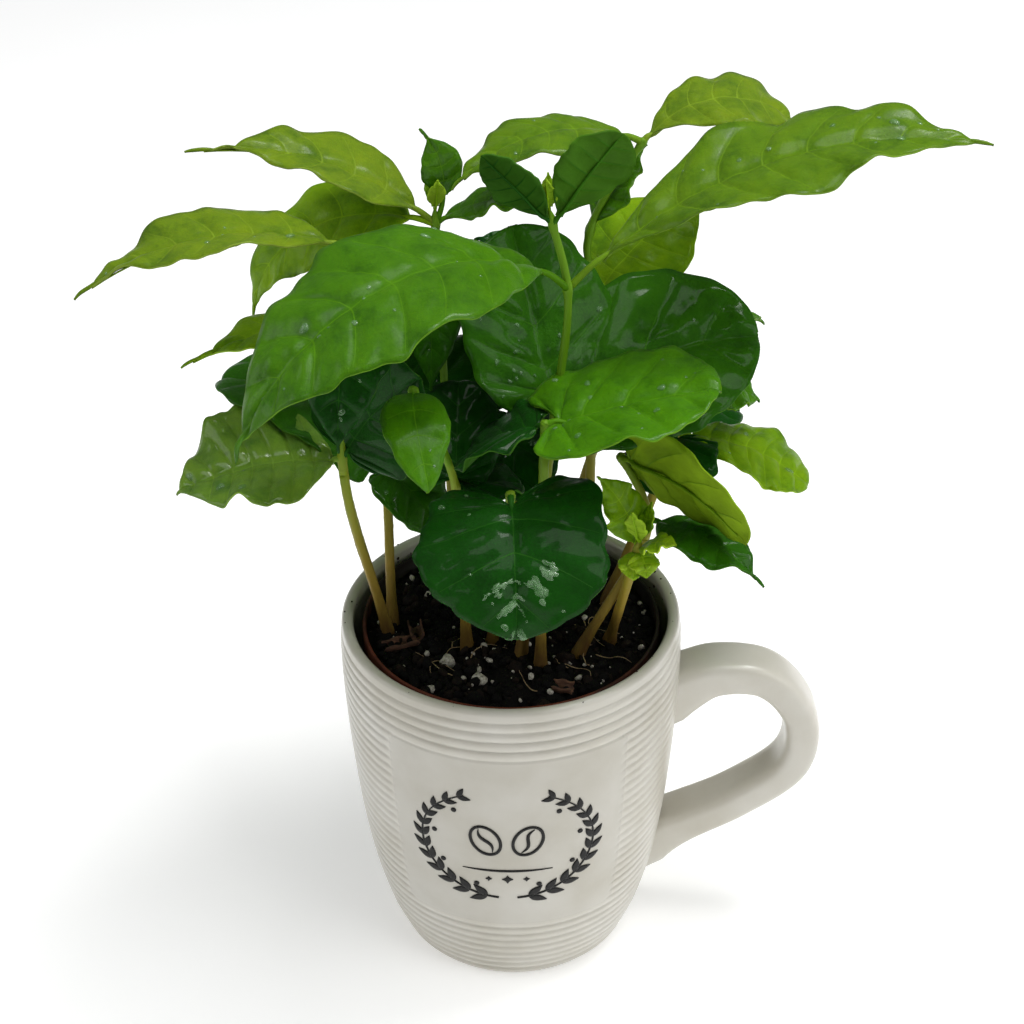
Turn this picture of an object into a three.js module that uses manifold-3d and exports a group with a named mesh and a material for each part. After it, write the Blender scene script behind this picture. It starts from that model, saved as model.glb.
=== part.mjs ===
// Potted coffee plant: a clump of coffee seedlings in a nursery pot that stands in a ceramic mug.
// Millimetres, +Z up. The origin is the middle of the mug's flat underside.
// The mug's handle points along +X, and its smooth panel faces -Y.
import * as THREE from 'three';
import { mergeVertices } from 'three/addons/utils/BufferGeometryUtils.js';
import Module from 'manifold-3d';

const wasm = await Module();
wasm.setup();

// Clearance between pieces that touch
const gap = 0.3;

// Mug: outer radius at heights up the wall, from the foot to the lip
const mugHeight = 102;
const mugWall = 3.1;
const mugFloor = 5;
const mugLip = 1.5;
const mugOuter = [
  [31.6, 0],
  [32.4, 2],
  [33.6, 5],
  [35.6, 10],
  [37.7, 17.5],
  [39.5, 25.5],
  [41.9, 41],
  [43.4, 56],
  [44.5, 71],
  [45.2, 87],
  [45.1, 97],
  [44.7, 100.5],
];
const roundSteps = 48;

// Handle: middle line in the plane of the loop, as distance from the axis and height
const handleLine = [
  [40, 75],
  [47, 78],
  [55, 81.3],
  [68.6, 79.4],
  [78.4, 66.6],
  [77.4, 50.8],
  [62.6, 37.6],
  [47, 28.8],
  [34, 24],
];
const handleAcross = 6.9;
const handleThick = 4.5;
const handleFlare = 0.25;
const handleSides = 12;
const handleSteps = 28;

// Nursery pot and the soil in it
const potRim = 39.4;
const potFoot = 27;
const potWall = 0.9;
const potRimTop = 99.4;
const potRimBand = 2.2;
const potRimDeep = 6;
const soilTop = 97;
const soilSag = 1.2;
const soilSlope = 4;

// Stems and leaves
const stemFoot = 1.3;
const stemTop = 1.05;
const shootTop = 0.85;
const footFlare = 0.55;
const flareShare = 1 / 12;
const stemSides = 6;
const stemSteps = 8;
const spanSteps = 4;
const cutBelow = 3;
const tipLength = 4;
const bareTip = 1.2;
const leafThick = 1.2;
const petioleHalf = 0.8;
const leafSteps = 8;

// Young leaves in pairs at the tips of the leafy shoots
const budSeed = 11;
const budLength = 11;
const budWidth = 5;
const budRise = 66;
const budStray = 40;

// Blade shapes: where the petiole ends, how the width rises and falls, and the fold along the midrib
const blades = {
  seed: { petiole: 0.08, rise: 0.5, fall: 0.5, fold: 3, lobe: 0.14 },
  adult: { petiole: 0.1, rise: 0.85, fall: 1.15, fold: -3, lobe: 0 },
};

// Seedlings: the foot on the soil, the leaf nodes up the stem, and the leaves at each node.
// A leaf is [node, blade, heading, rise, droop, swing, length, width, tilt, twist], in degrees and mm.
// Heading is measured from +X towards +Y. Droop, swing and twist are spread evenly along the leaf.
const seedlings = [
  {
    foot: [2.5, -14],
    nodes: [[12, -4, 166], [15, -4, 199], [11.5, -2, 215]],
    leaves: [
      [0, 'seed', 22, 28, 30, -14, 55, 46, -32],
      [0, 'seed', 112, 52, -14, 5, 46, 40, 0],
      [1, 'adult', 222, 50, 118, -16, 109, 42, 6],
      [1, 'adult', 20, 42, 48, -30, 110, 37, -4],
      [2, 'adult', -20, 62, 10, 10, 30, 19, 60],
      [2, 'adult', 190, 52, 6, -10, 25, 14, -60],
    ],
  },
  {
    foot: [21, 18],
    nodes: [[22, 25, 150], [22, 27, 179], [21.5, 29, 198], [34.5, 31, 221]],
    leaves: [
      [1, 'adult', 46, 40, 25, -20, 43, 32, -10],
      [1, 'adult', 153, 43, 46, 4, 36, 32, 0],
      [2, 'adult', 30, 65, 30, 0, 26, 14, 0],
      [3, 'adult', 197, 34, 74, 11, 55, 26, -3],
      [3, 'adult', 20, 30, 46, -20, 42, 24, -6],
      [0, 'seed', 46, 35, 25, 0, 36, 32, 0],
      [0, 'seed', 262, 12, 20, 0, 28, 22, 0],
    ],
  },
  {
    foot: [-14, 14],
    nodes: [[-16, 19, 152], [-17, 22, 204]],
    leaves: [
      [0, 'seed', 122, 20, 30, 0, 38, 38, 0],
      [0, 'adult', -76, 16, 64, 0, 31, 24, 0],
      [1, 'adult', 172, 43, 46, 20, 66, 27, 4],
      [1, 'adult', 172, 20, 104, -10, 68, 25, 0, 65],
      [1, 'adult', 11, 37, 42, -54, 30, 15, 0],
      [1, 'adult', -97, -56, 20, 0, 42, 16, 0],
      [1, 'adult', 180, 116, 66, 0, 27, 11, 70],
    ],
  },
  {
    foot: [-32.5, -2.5],
    nodes: [[-41.5, -5, 152.5], [-35, 2, 207]],
    leaves: [
      [1, 'adult', 184, 26, 60, 14, 72, 26, -2],
      [1, 'adult', -100, -20, 62, 0, 52, 24, 0],
      [0, 'adult', 190, 14, 36, 6, 43, 40, 7],
      [0, 'seed', -20, 66, 30, 0, 35, 34, -80],
    ],
  },
  {
    foot: [-31.5, 1.5],
    nodes: [[-32, 9, 141], [-37, 11, 186]],
    leaves: [
      [0, 'seed', -42, -5, 62, 7, 22, 21, 0],
      [0, 'seed', 145, 55, 70, 24, 53, 41, -6],
      [1, 'adult', 195, 2, 24, 3, 46, 20, 0],
      [1, 'adult', 75, 15, 30, 0, 26, 20, 0],
    ],
  },
  {
    foot: [-11.5, -10],
    nodes: [[-13, -15, 150], [-21.5, -36, 190]],
    leaves: [
      [1, 'adult', -91, 8, 84, 26, 28.5, 15.5, 0],
      [0, 'seed', 88, 45, 25, 0, 30, 22, 0],
      [0, 'seed', 20, 10, 40, 0, 18, 18, 0],
    ],
  },
  {
    foot: [-5, -8],
    nodes: [[0.5, -29, 156.5]],
    leaves: [
      [0, 'seed', -88, 4, 90, 0, 40, 45, -8],
    ],
  },
  {
    foot: [7.5, -18],
    nodes: [[9, -22, 172]],
    leaves: [
      [0, 'seed', 2, 20, 12, -8, 43, 43, 0],
      [0, 'seed', 160, -12, 45, 0, 27, 26, 0],
    ],
  },
  {
    foot: [17.5, -13.5],
    nodes: [[35, -12, 137.5], [28, -10, 155]],
    leaves: [
      [0, 'adult', -46, 24, 56, 4, 39, 19, 0],
      [1, 'seed', -40, 10, 48, 0, 41, 25, 72],
    ],
  },
  {
    foot: [26, -8],
    nodes: [[31.5, -26, 138]],
    leaves: [
      [0, 'adult', 178, 85, 40, 0, 24, 12, 50],
      [0, 'adult', -115, -24, 50, 30, 8, 8, 0],
      [0, 'adult', -58, -8, 60, -30, 8, 8, 0],
      [0, 'adult', -30, 50, 50, 0, 12, 9, 0],
    ],
  },
  {
    foot: [26, 10],
    nodes: [[43.5, 13, 147], [46, 17, 162]],
    leaves: [
      [0, 'adult', -6, 8, 52, -12, 38, 28, 4],
      [1, 'adult', 4, 2, 50, 0, 22, 24, 0],
      [0, 'seed', -100, 8, 50, 0, 22, 24, 0],
    ],
  },
  {
    foot: [2, 21],
    nodes: [[2, 28, 146], [2, 33, 168]],
    leaves: [
      [0, 'seed', 68, 5, 40, 0, 40, 34, 0],
      [0, 'seed', 125, 15, 40, 0, 42, 36, 0],
      [0, 'seed', -92, 0, 40, 0, 30, 26, 0],
      [1, 'adult', 104, 22, 60, 0, 60, 30, 0],
      [1, 'adult', 154, 28, 66, 0, 62, 30, 0],
    ],
  },
  {
    foot: [13, 28],
    nodes: [[27, 42, 138], [33, 50, 155]],
    leaves: [
      [1, 'adult', 36, 18, 62, 0, 54, 26, 0],
      [1, 'adult', 98, 30, 70, 0, 48, 26, 0],
      [0, 'seed', 8, 8, 30, 0, 38, 34, 0],
      [0, 'seed', 100, -8, 30, 0, 36, 32, 0],
    ],
  },
];

// Materials
const glaze = { color: 0xe9e6de, roughness: 0.35 };
const potPlastic = { color: 0x6a3325, roughness: 0.55 };
const peat = { color: 0x1c1510, roughness: 0.95 };
const stemGreen = { color: 0x8c8a3c, roughness: 0.6 };
const leafGreen = { color: 0x2f7a14, roughness: 0.35 };

const radians = THREE.MathUtils.degToRad;

function mesh(name, geometry, look) {
  const piece = new THREE.Mesh(geometry, new THREE.MeshStandardMaterial({ metalness: 0, ...look }));
  piece.name = name;
  return piece;
}

// A closed geometry whose shared corners are merged
function closed(geometry) {
  geometry.deleteAttribute('normal');
  geometry.deleteAttribute('uv');
  return mergeVertices(geometry, 1e-4);
}

function toSolid(geometry) {
  const body = closed(geometry);
  const vertProperties = new Float32Array(body.attributes.position.array);
  const triVerts = new Uint32Array(body.index.array);
  return new wasm.Manifold(new wasm.Mesh({ numProp: 3, vertProperties, triVerts }));
}

function toGeometry(solid) {
  const { vertProperties, triVerts } = solid.getMesh();
  const geometry = new THREE.BufferGeometry();
  geometry.setAttribute('position', new THREE.BufferAttribute(new Float32Array(vertProperties), 3));
  geometry.setIndex(new THREE.BufferAttribute(new Uint32Array(triVerts), 1));
  return geometry;
}

// A turned solid about the Z axis, from [radius, height] pairs that start and end on the axis
function turned(profile) {
  const points = profile.map(([radius, height]) => new THREE.Vector2(radius, height));
  return closed(new THREE.LatheGeometry(points, roundSteps).rotateX(Math.PI / 2));
}

// A unit cylinder whose every corner is moved to place(along, across, up)
function shaped(sides, steps, place) {
  const geometry = new THREE.CylinderGeometry(1, 1, 1, sides, steps);
  const spots = geometry.attributes.position;
  for (let i = 0; i < spots.count; i += 1) {
    const spot = place(spots.getY(i) + 0.5, spots.getX(i), spots.getZ(i));
    spots.setXYZ(i, spot.x, spot.y, spot.z);
  }
  return geometry;
}

// A round limb along a curve between two shares of it, with flat level or square ends
function limb(curve, from, to, radiusAt, sides, steps) {
  return shaped(sides, steps, (along, across, up) => {
    const share = from + (to - from) * along;
    const middle = curve.getPoint(share);
    const tangent = share === 0 ? new THREE.Vector3(0, 0, 1) : curve.getTangent(share);
    const side = new THREE.Vector3(0, 1, 0).cross(tangent).normalize();
    const front = side.clone().cross(tangent);
    const radius = radiusAt(share);
    return middle.addScaledVector(side, across * radius).addScaledVector(front, up * radius);
  });
}

function mugProfile(grow) {
  const outer = mugOuter.map(([radius, height]) => [radius + grow, height]);
  const rimMiddle = mugOuter.at(-1)[0] - mugWall / 2;
  const inner = mugOuter
    .filter(([, height]) => height > mugFloor)
    .map(([radius, height]) => [radius - mugWall, height])
    .reverse();
  return { outer, rimMiddle, inner };
}

function mugBody() {
  const { outer, rimMiddle, inner } = mugProfile(0);
  const innerFoot = [inner.at(-1)[0] - 2, mugFloor];
  const lip = [
    [rimMiddle + mugLip * 0.6, mugHeight - 0.4],
    [rimMiddle, mugHeight],
    [rimMiddle - mugLip * 0.6, mugHeight - 0.4],
  ];
  return turned([[0, 0], ...outer, ...lip, ...inner, innerFoot, [0, mugFloor]]);
}

// The mug's outside as a full solid, grown by the clearance, that trims the handle's roots
function mugCore() {
  const { outer } = mugProfile(gap);
  const foot = [outer[0][0], -mugFloor];
  const top = [outer.at(-1)[0], mugHeight + mugFloor];
  return toSolid(turned([[0, foot[1]], foot, ...outer, top, [0, top[1]]]));
}

function mugHandle() {
  const line = handleLine.map(([out, height]) => new THREE.Vector3(out, 0, height));
  const curve = new THREE.CatmullRomCurve3(line);
  const loop = shaped(handleSides, handleSteps, (along, across, up) => {
    const ends = Math.abs(2 * along - 1);
    const swell = 1 + handleFlare * ends ** 6;
    const tangent = curve.getTangent(along);
    const out = tangent.clone().cross(new THREE.Vector3(0, 1, 0));
    return curve
      .getPoint(along)
      .addScaledVector(out, across * handleThick * swell)
      .addScaledVector(new THREE.Vector3(0, -1, 0), -up * handleAcross * swell);
  });
  return toGeometry(toSolid(loop).subtract(mugCore()));
}

function nurseryPot() {
  const foot = mugFloor + gap;
  const bandFoot = potRimTop - potRimDeep;
  const wallTop = potRim - potRimBand;
  return turned([
    [0, foot],
    [potFoot, foot],
    [wallTop, bandFoot],
    [potRim, bandFoot],
    [potRim, potRimTop],
    [potRim - potWall, potRimTop],
    [potRim - potWall, bandFoot + potWall],
    [wallTop - potWall, bandFoot + potWall],
    [potFoot - potWall, foot + potWall],
    [0, foot + potWall],
  ]);
}

function soilPlug() {
  const foot = mugFloor + gap + potWall + gap;
  const bandFoot = potRimTop - potRimDeep;
  const inner = potRim - potWall - gap;
  const ledge = potRim - potRimBand - potWall - gap;
  return turned([
    [0, foot],
    [potFoot - potWall - gap, foot],
    [ledge, bandFoot + potWall + gap],
    [inner, bandFoot + potWall + gap],
    [inner, soilTop - soilSag],
    [inner - soilSlope, soilTop],
    [0, soilTop],
  ]);
}

// Half the width of a blade at a share of its length
function halfWidth(blade, width, share) {
  const run = (share - blade.petiole) / (1 - blade.petiole);
  if (run <= 0) {
    return petioleHalf;
  }
  const widest = blade.rise / (blade.rise + blade.fall);
  const swell = (run / widest) ** blade.rise * ((1 - run) / (1 - widest)) ** blade.fall;
  return Math.max(petioleHalf * (1 - run), (swell * width) / 2, petioleHalf / 4);
}

// The midrib's points and frames, which droop and swing evenly along the leaf
function midrib(base, heading, rise, droop, swing, length, tilt, twist) {
  const rows = [];
  const point = base.clone();
  for (let i = 0; i <= leafSteps; i += 1) {
    const share = i / leafSteps;
    const turn = radians(heading + swing * share);
    const climb = radians(rise - droop * share);
    const flat = Math.cos(climb);
    const tangent = new THREE.Vector3(flat * Math.cos(turn), flat * Math.sin(turn), Math.sin(climb));
    const level = new THREE.Vector3(Math.sin(turn), -Math.cos(turn), 0);
    const side = level.applyAxisAngle(tangent, radians(-tilt - twist * share));
    rows.push({ point: point.clone(), tangent, side, face: side.clone().cross(tangent) });
    const next = share + 0.5 / leafSteps;
    const nextTurn = radians(heading + swing * next);
    const nextClimb = radians(rise - droop * next);
    const stride = length / leafSteps;
    point.x += stride * Math.cos(nextClimb) * Math.cos(nextTurn);
    point.y += stride * Math.cos(nextClimb) * Math.sin(nextTurn);
    point.z += stride * Math.sin(nextClimb);
  }
  return rows;
}

function leafSolid(base, [, kind, heading, rise, droop, swing, length, width, tilt, twist = 0]) {
  const blade = blades[kind];
  const rows = midrib(base, heading, rise, droop, swing, length, tilt, twist);
  const fold = radians(blade.fold);
  return toSolid(shaped(4, leafSteps, (along, across, up) => {
    const row = rows[Math.round(along * leafSteps)];
    const half = halfWidth(blade, width, along);
    const thick = along === 1 ? petioleHalf / 2 : leafThick / 2;
    const back = blade.lobe * length * Math.abs(across) * (1 - along) ** 3 * (along > 0 ? 1 : 0);
    return row.point
      .clone()
      .addScaledVector(row.side, across * half * Math.cos(fold))
      .addScaledVector(row.face, up * thick + Math.abs(across) * half * Math.sin(fold))
      .addScaledVector(row.tangent, -back);
  }));
}

// The same run of shares from 0 to 1 each time
function roller(seed) {
  let state = seed;
  return () => {
    state = (state * 16807) % 2147483647;
    return state / 2147483647;
  };
}

// A pair of young leaves, set across the last leaf listed where that is an adult one
function youngLeaves(leaves, roll) {
  const [node, kind, below] = leaves.at(-1);
  if (kind !== 'adult') {
    return [];
  }
  return [90, 270].map((turn) => {
    const heading = below + turn + budStray * (roll() - 0.5);
    const size = 0.75 + 0.5 * roll();
    return [node, kind, heading, budRise, 0, 0, budLength * size, budWidth * size, 0];
  });
}

// One seedling: its bare stem, and its leafy shoot as one mass that starts just clear of the stem
function seedling({ foot, nodes, leaves }, number, roll) {
  const start = new THREE.Vector3(foot[0], foot[1], soilTop + gap);
  const knees = nodes.map(([x, y, z]) => new THREE.Vector3(x, y, z));
  const tipRun = knees.at(-1).clone().sub(knees.at(-2) ?? start).normalize();
  const leafy = leaves.at(-1)[1] === 'adult';
  const tip = knees.at(-1).clone().addScaledVector(tipRun, leafy ? tipLength : bareTip);
  const curve = new THREE.CatmullRomCurve3([start, ...knees, tip]);
  const spans = knees.length + 1;
  const length = curve.getLength();
  const cut = 1 / spans - cutBelow / length;
  const stemRadius = (share) => {
    const run = share / cut;
    return stemTop + (stemFoot - stemTop) * (1 - run) + footFlare * Math.max(0, 1 - run / flareShare);
  };
  const shootRadius = (share) => stemTop + (shootTop - stemTop) * ((share - cut) / (1 - cut));
  const stem = limb(curve, 0, cut, stemRadius, stemSides, stemSteps);
  let mass = toSolid(limb(curve, cut + gap / length, 1, shootRadius, stemSides, spanSteps * spans));
  leaves.forEach((leaf) => {
    mass = mass.add(leafSolid(knees[leaf[0]], leaf));
  });
  youngLeaves(leaves, roll).forEach((leaf) => {
    mass = mass.add(leafSolid(tip, leaf));
  });
  return [
    mesh(`stem_${number}`, closed(stem), stemGreen),
    mesh(`foliage_${number}`, toGeometry(mass), leafGreen),
  ];
}

const plant = new THREE.Group();
plant.add(mesh('mug_body', mugBody(), glaze));
plant.add(mesh('mug_handle', mugHandle(), glaze));
plant.add(mesh('nursery_pot', nurseryPot(), potPlastic));
plant.add(mesh('soil', soilPlug(), peat));
const roll = roller(budSeed);
seedlings.forEach((one, index) => plant.add(...seedling(one, index + 1, roll)));

export default plant;
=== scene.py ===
# Potted coffee plant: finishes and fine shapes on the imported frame. Shapes are in mm, pieces in metres.
import math
import bmesh
import bpy
import numpy as np
from mathutils import Matrix, Vector


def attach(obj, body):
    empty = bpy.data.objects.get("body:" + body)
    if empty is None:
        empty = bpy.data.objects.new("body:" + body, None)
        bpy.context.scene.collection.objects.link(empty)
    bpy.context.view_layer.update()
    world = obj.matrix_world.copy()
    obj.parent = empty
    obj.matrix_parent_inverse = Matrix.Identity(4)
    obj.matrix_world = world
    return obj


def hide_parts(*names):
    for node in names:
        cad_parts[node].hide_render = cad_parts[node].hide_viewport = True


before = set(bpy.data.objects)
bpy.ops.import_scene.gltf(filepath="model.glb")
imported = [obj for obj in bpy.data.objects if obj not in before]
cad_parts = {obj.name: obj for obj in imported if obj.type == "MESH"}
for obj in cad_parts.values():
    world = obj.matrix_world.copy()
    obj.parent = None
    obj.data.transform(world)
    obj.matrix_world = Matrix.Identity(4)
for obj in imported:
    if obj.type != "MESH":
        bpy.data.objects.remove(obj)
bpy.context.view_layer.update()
scene = bpy.context.scene
mm = 0.001
poleRadius = 0.02  # mm, a small ring in place of a point
upward = np.array([0.0, 0.0, 1.0])
print("frame loaded:", len(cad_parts), "nodes")


# small maths
def unit(vectors):
    size = np.linalg.norm(vectors, axis=-1, keepdims=True)
    return vectors / np.maximum(size, 1e-9)


def ease(values, low, high):
    share = np.clip((np.asarray(values, float) - low) / (high - low), 0, 1)
    return share * share * (3 - 2 * share)


def smoothLine(points, perSpan):
    # an even-tempered curve through the points, as round as a bent rod
    knots = [np.array(point, float) for point in points]
    knots = [2 * knots[0] - knots[1]] + knots + [2 * knots[-1] - knots[-2]]
    line = []
    for before, start, end, after in zip(knots, knots[1:], knots[2:], knots[3:]):
        first = np.linalg.norm(start - before) ** 0.5
        middle = np.linalg.norm(end - start) ** 0.5
        last = np.linalg.norm(after - end) ** 0.5
        leave = (start - before) / first - (end - before) / (first + middle) + (end - start) / middle
        arrive = (end - start) / middle - (after - start) / (middle + last) + (after - end) / last
        for share in np.arange(perSpan) / perSpan:
            square = share * share
            cube = square * share
            spot = start * (2 * cube - 3 * square + 1) + end * (3 * square - 2 * cube)
            spot += middle * (leave * (cube - 2 * square + share) + arrive * (cube - square))
            line.append(spot)
    line.append(knots[-2])
    return np.array(line)


def alongLine(line, shares):
    # points at shares of the line's own length
    steps = np.linalg.norm(np.diff(line, axis=0), axis=1)
    run = np.concatenate([[0], np.cumsum(steps)]) / steps.sum()
    return np.stack([np.interp(shares, run, line[:, axis]) for axis in range(line.shape[1])], axis=-1)


# meshes are gathered in bags: points, four-sided and three-sided faces, and the finish of each face
def newBag():
    return {"points": [], "faces": [], "finish": [], "count": 0}


def addPoints(bag, points):
    start = bag["count"]
    bag["points"].append(np.reshape(points, (-1, 3)))
    bag["count"] += bag["points"][-1].shape[0]
    return start


def addFaces(bag, faces, finish):
    bag["faces"].extend(np.asarray(faces).tolist())
    bag["finish"].extend([finish] * len(faces))


def gridFaces(rows, columns, start, around=False, flip=False):
    index = start + np.arange(rows * columns).reshape(rows, columns)
    if around:
        index = np.concatenate([index, index[:, :1]], axis=1)
    faces = np.stack([index[:-1, :-1], index[:-1, 1:], index[1:, 1:], index[1:, :-1]], axis=-1)
    faces = faces.reshape(-1, 4)
    return faces[:, ::-1] if flip else faces


def addGrid(bag, grid, finish, around=False, flip=False):
    start = addPoints(bag, grid)
    addFaces(bag, gridFaces(grid.shape[0], grid.shape[1], start, around, flip), finish)
    return start


def ringTurns(count):
    return np.arange(count) * 2 * math.pi / count


def addFan(bag, ringStart, count, centre, finish, flip=False):
    # closes a ring to a point in its middle
    middle = addPoints(bag, centre)
    ring = ringStart + np.arange(count)
    fan = np.stack([np.full(count, middle), ring, np.roll(ring, -1)], axis=-1)
    addFaces(bag, fan[:, ::-1] if flip else fan, finish)


def closeEnds(bag, start, rows, columns):
    # a flat face on the first ring and on the last
    last = start + (rows - 1) * columns
    addFaces(bag, [np.arange(start, start + columns)[::-1]], 0)
    addFaces(bag, [np.arange(last, last + columns)], 0)


def addShell(bag, upper, lower, topFinish, lowFinish):
    # two facing grids closed round their edge
    rows, columns = upper.shape[:2]
    first = addGrid(bag, upper, topFinish)
    second = addGrid(bag, lower, lowFinish, flip=True)
    index = np.arange(rows * columns).reshape(rows, columns)
    loop = np.concatenate([index[0, :-1], index[:-1, -1], index[-1, :0:-1], index[:0:-1, 0]])
    ahead = np.roll(loop, -1)
    edge = np.stack([first + loop, second + loop, second + ahead, first + ahead], axis=-1)
    addFaces(bag, edge, lowFinish)


def addTube(bag, line, radii, sides, finish, relief=None):
    # a round limb along a line, closed at both ends
    tangents = unit(np.gradient(line, axis=0))
    level = upward if abs(tangents[0][2]) < 0.8 else np.array([0.0, 1.0, 0.0])
    side = unit(np.cross(tangents[0], level))
    turns = ringTurns(sides)
    rows = []
    for step, tangent in enumerate(tangents):
        side = unit(side - tangent * np.dot(side, tangent))
        front = np.cross(tangent, side)
        ring = np.outer(np.cos(turns), side) + np.outer(np.sin(turns), front)
        reach = radii[step] * (np.ones(sides) if relief is None else relief[step])
        rows.append(line[step] + ring * reach[:, None])
    start = addGrid(bag, np.array(rows), finish, around=True)
    addFan(bag, start, sides, line[0], finish, flip=True)
    addFan(bag, start + (len(rows) - 1) * sides, sides, line[-1], finish)


def makePiece(name, bag, finishes, replaced=()):
    points = np.concatenate(bag["points"]) * mm
    mesh = bpy.data.meshes.new(name)
    mesh.from_pydata(points.tolist(), [], bag["faces"])
    for finish in finishes:
        mesh.materials.append(finish)
    mesh.polygons.foreach_set("material_index", bag["finish"])
    mesh.polygons.foreach_set("use_smooth", [True] * len(mesh.polygons))
    mesh.update()
    piece = bpy.data.objects.new(name, mesh)
    scene.collection.objects.link(piece)
    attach(piece, "root")
    if replaced:
        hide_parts(*replaced)
    print("made", name, len(bag["faces"]), "faces")


# finishes
def tone(red, green, blue, lift=1.0):
    # a screen colour of 0 to 255 as the shader's linear colour
    shares = [channel / 255 for channel in (red, green, blue)]
    linear = [share / 12.92 if share < 0.04045 else ((share + 0.055) / 1.055) ** 2.4 for share in shares]
    return tuple(min(1.0, value * lift) for value in linear) + (1.0,)


def newFinish(name, **sockets):
    finish = bpy.data.materials.new(name)
    finish.use_nodes = True
    shader = finish.node_tree.nodes["Principled BSDF"]
    for socket, value in sockets.items():
        shader.inputs[socket.replace("_", " ")].default_value = value
    return finish, finish.node_tree, shader


def grain(tree, size, detail=4.0, stretch=(1, 1, 1), rough=0.5):
    # noise with grains of about this size in mm
    place = tree.nodes.new("ShaderNodeTexCoord")
    scale = tree.nodes.new("ShaderNodeMapping")
    scale.inputs["Scale"].default_value = stretch
    noise = tree.nodes.new("ShaderNodeTexNoise")
    noise.inputs["Scale"].default_value = 1 / (size * mm)
    noise.inputs["Detail"].default_value = detail
    noise.inputs["Roughness"].default_value = rough
    tree.links.new(place.outputs["Object"], scale.inputs["Vector"])
    tree.links.new(scale.outputs["Vector"], noise.inputs["Vector"])
    return noise.outputs["Fac"]


def tinted(tree, shader, value, stops):
    # screen colours dealt along a value, some with a lift as a fourth number
    ramp = tree.nodes.new("ShaderNodeValToRGB")
    elements = ramp.color_ramp.elements
    while len(elements) < len(stops):
        elements.new(0.5)
    for element, (position, colour) in zip(elements, stops):
        element.position = position
        element.color = tone(*colour)
    tree.links.new(value, ramp.inputs["Fac"])
    tree.links.new(ramp.outputs["Color"], shader.inputs["Base Color"])


def varied(tree, shader, socket, value, low, high):
    spread = tree.nodes.new("ShaderNodeMapRange")
    spread.inputs["From Min"].default_value = 0.3  # most of a noise lies between these two
    spread.inputs["From Max"].default_value = 0.7
    spread.inputs["To Min"].default_value = low
    spread.inputs["To Max"].default_value = high
    tree.links.new(value, spread.inputs["Value"])
    tree.links.new(spread.outputs["Result"], shader.inputs[socket])


def bumped(tree, shader, value, depth):
    # relief of about this depth in mm
    bump = tree.nodes.new("ShaderNodeBump")
    bump.inputs["Strength"].default_value = 1.0
    bump.inputs["Distance"].default_value = depth * mm
    tree.links.new(value, bump.inputs["Height"])
    tree.links.new(bump.outputs["Normal"], shader.inputs["Normal"])


# camera, lights and floor
cameraView = {
    "place": (0.8, -486.8, 452.7),  # mm in the part's frame
    "pitch": 33.33,  # degrees below level
    "roll": -0.89,
    "lens": 79.69,
    "sensor": 36.0,
    "nearest": 0.01,  # m
}
studio = {
    "sky": (0.92, 0.96, 1.0),
    "skyStrength": 0.13,
    "floorSide": 8.0,  # m
    "floorTone": (247, 247, 246),
    "floorShade": 0.985,  # the darker flecks of the paper
    "floorGrain": 60,  # mm
    "floorGlow": 0.32,
    "lamps": [
        # name, place, aim, side in m, power in W
        ("lampTop", (0.25, -0.1, 1.35), (0, 0, 0.12), 1.1, 11),
        ("lampLeft", (-1.2, -0.2, 0.75), (0, 0, 0.15), 0.9, 4.2),
        ("lampRight", (1.05, -0.65, 0.75), (0, 0, 0.1), 0.8, 4.6),
        ("lampFront", (0.05, -1.5, 0.9), (0, 0, 0.1), 0.3, 0.5),
        ("lampKey", (0.42, 0.14, 1.3), (0, 0, 0.17), 0.4, 6.0),
    ],
}


def addCamera():
    data = bpy.data.cameras.new("camera")
    data.lens = cameraView["lens"]
    data.sensor_width = cameraView["sensor"]
    data.clip_start = cameraView["nearest"]
    camera = bpy.data.objects.new("camera", data)
    scene.collection.objects.link(camera)
    place = Matrix.Translation(Vector(cameraView["place"]) * mm)
    tilt = Matrix.Rotation(math.radians(90 - cameraView["pitch"]), 4, "X")
    roll = Matrix.Rotation(math.radians(cameraView["roll"]), 4, "Z")
    camera.matrix_world = place @ tilt @ roll
    scene.camera = camera


def addLamps():
    for name, place, aim, side, power in studio["lamps"]:
        data = bpy.data.lights.new(name, "AREA")
        data.shape = "SQUARE"
        data.size = side
        data.energy = power
        lamp = bpy.data.objects.new(name, data)
        scene.collection.objects.link(lamp)
        lamp.location = place
        lamp.rotation_euler = (Vector(aim) - Vector(place)).to_track_quat("-Z", "Y").to_euler()
    world = bpy.data.worlds.new("sky")
    world.use_nodes = True
    background = world.node_tree.nodes["Background"]
    background.inputs["Color"].default_value = studio["sky"] + (1.0,)
    background.inputs["Strength"].default_value = studio["skyStrength"]
    scene.world = world


def addFloor():
    half = studio["floorSide"] / 2
    corners = [(-half, -half, 0), (half, -half, 0), (half, half, 0), (-half, half, 0)]
    mesh = bpy.data.meshes.new("floor")
    mesh.from_pydata(corners, [], [(0, 1, 2, 3)])
    floor = bpy.data.objects.new("floor", mesh)
    scene.collection.objects.link(floor)
    finish, tree, shader = newFinish("floorPaper", Roughness=0.9, Specular_IOR_Level=0.1,
                                    Emission_Color=(1, 1, 1, 1), Emission_Strength=studio["floorGlow"])
    paper = studio["floorTone"]
    flecks = grain(tree, studio["floorGrain"])
    tinted(tree, shader, flecks, [(0.3, (*paper, studio["floorShade"])), (0.7, paper)])
    mesh.materials.append(finish)


scene.view_settings.view_transform = "Standard"
addCamera()
addLamps()
addFloor()
print("stage set")

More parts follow.
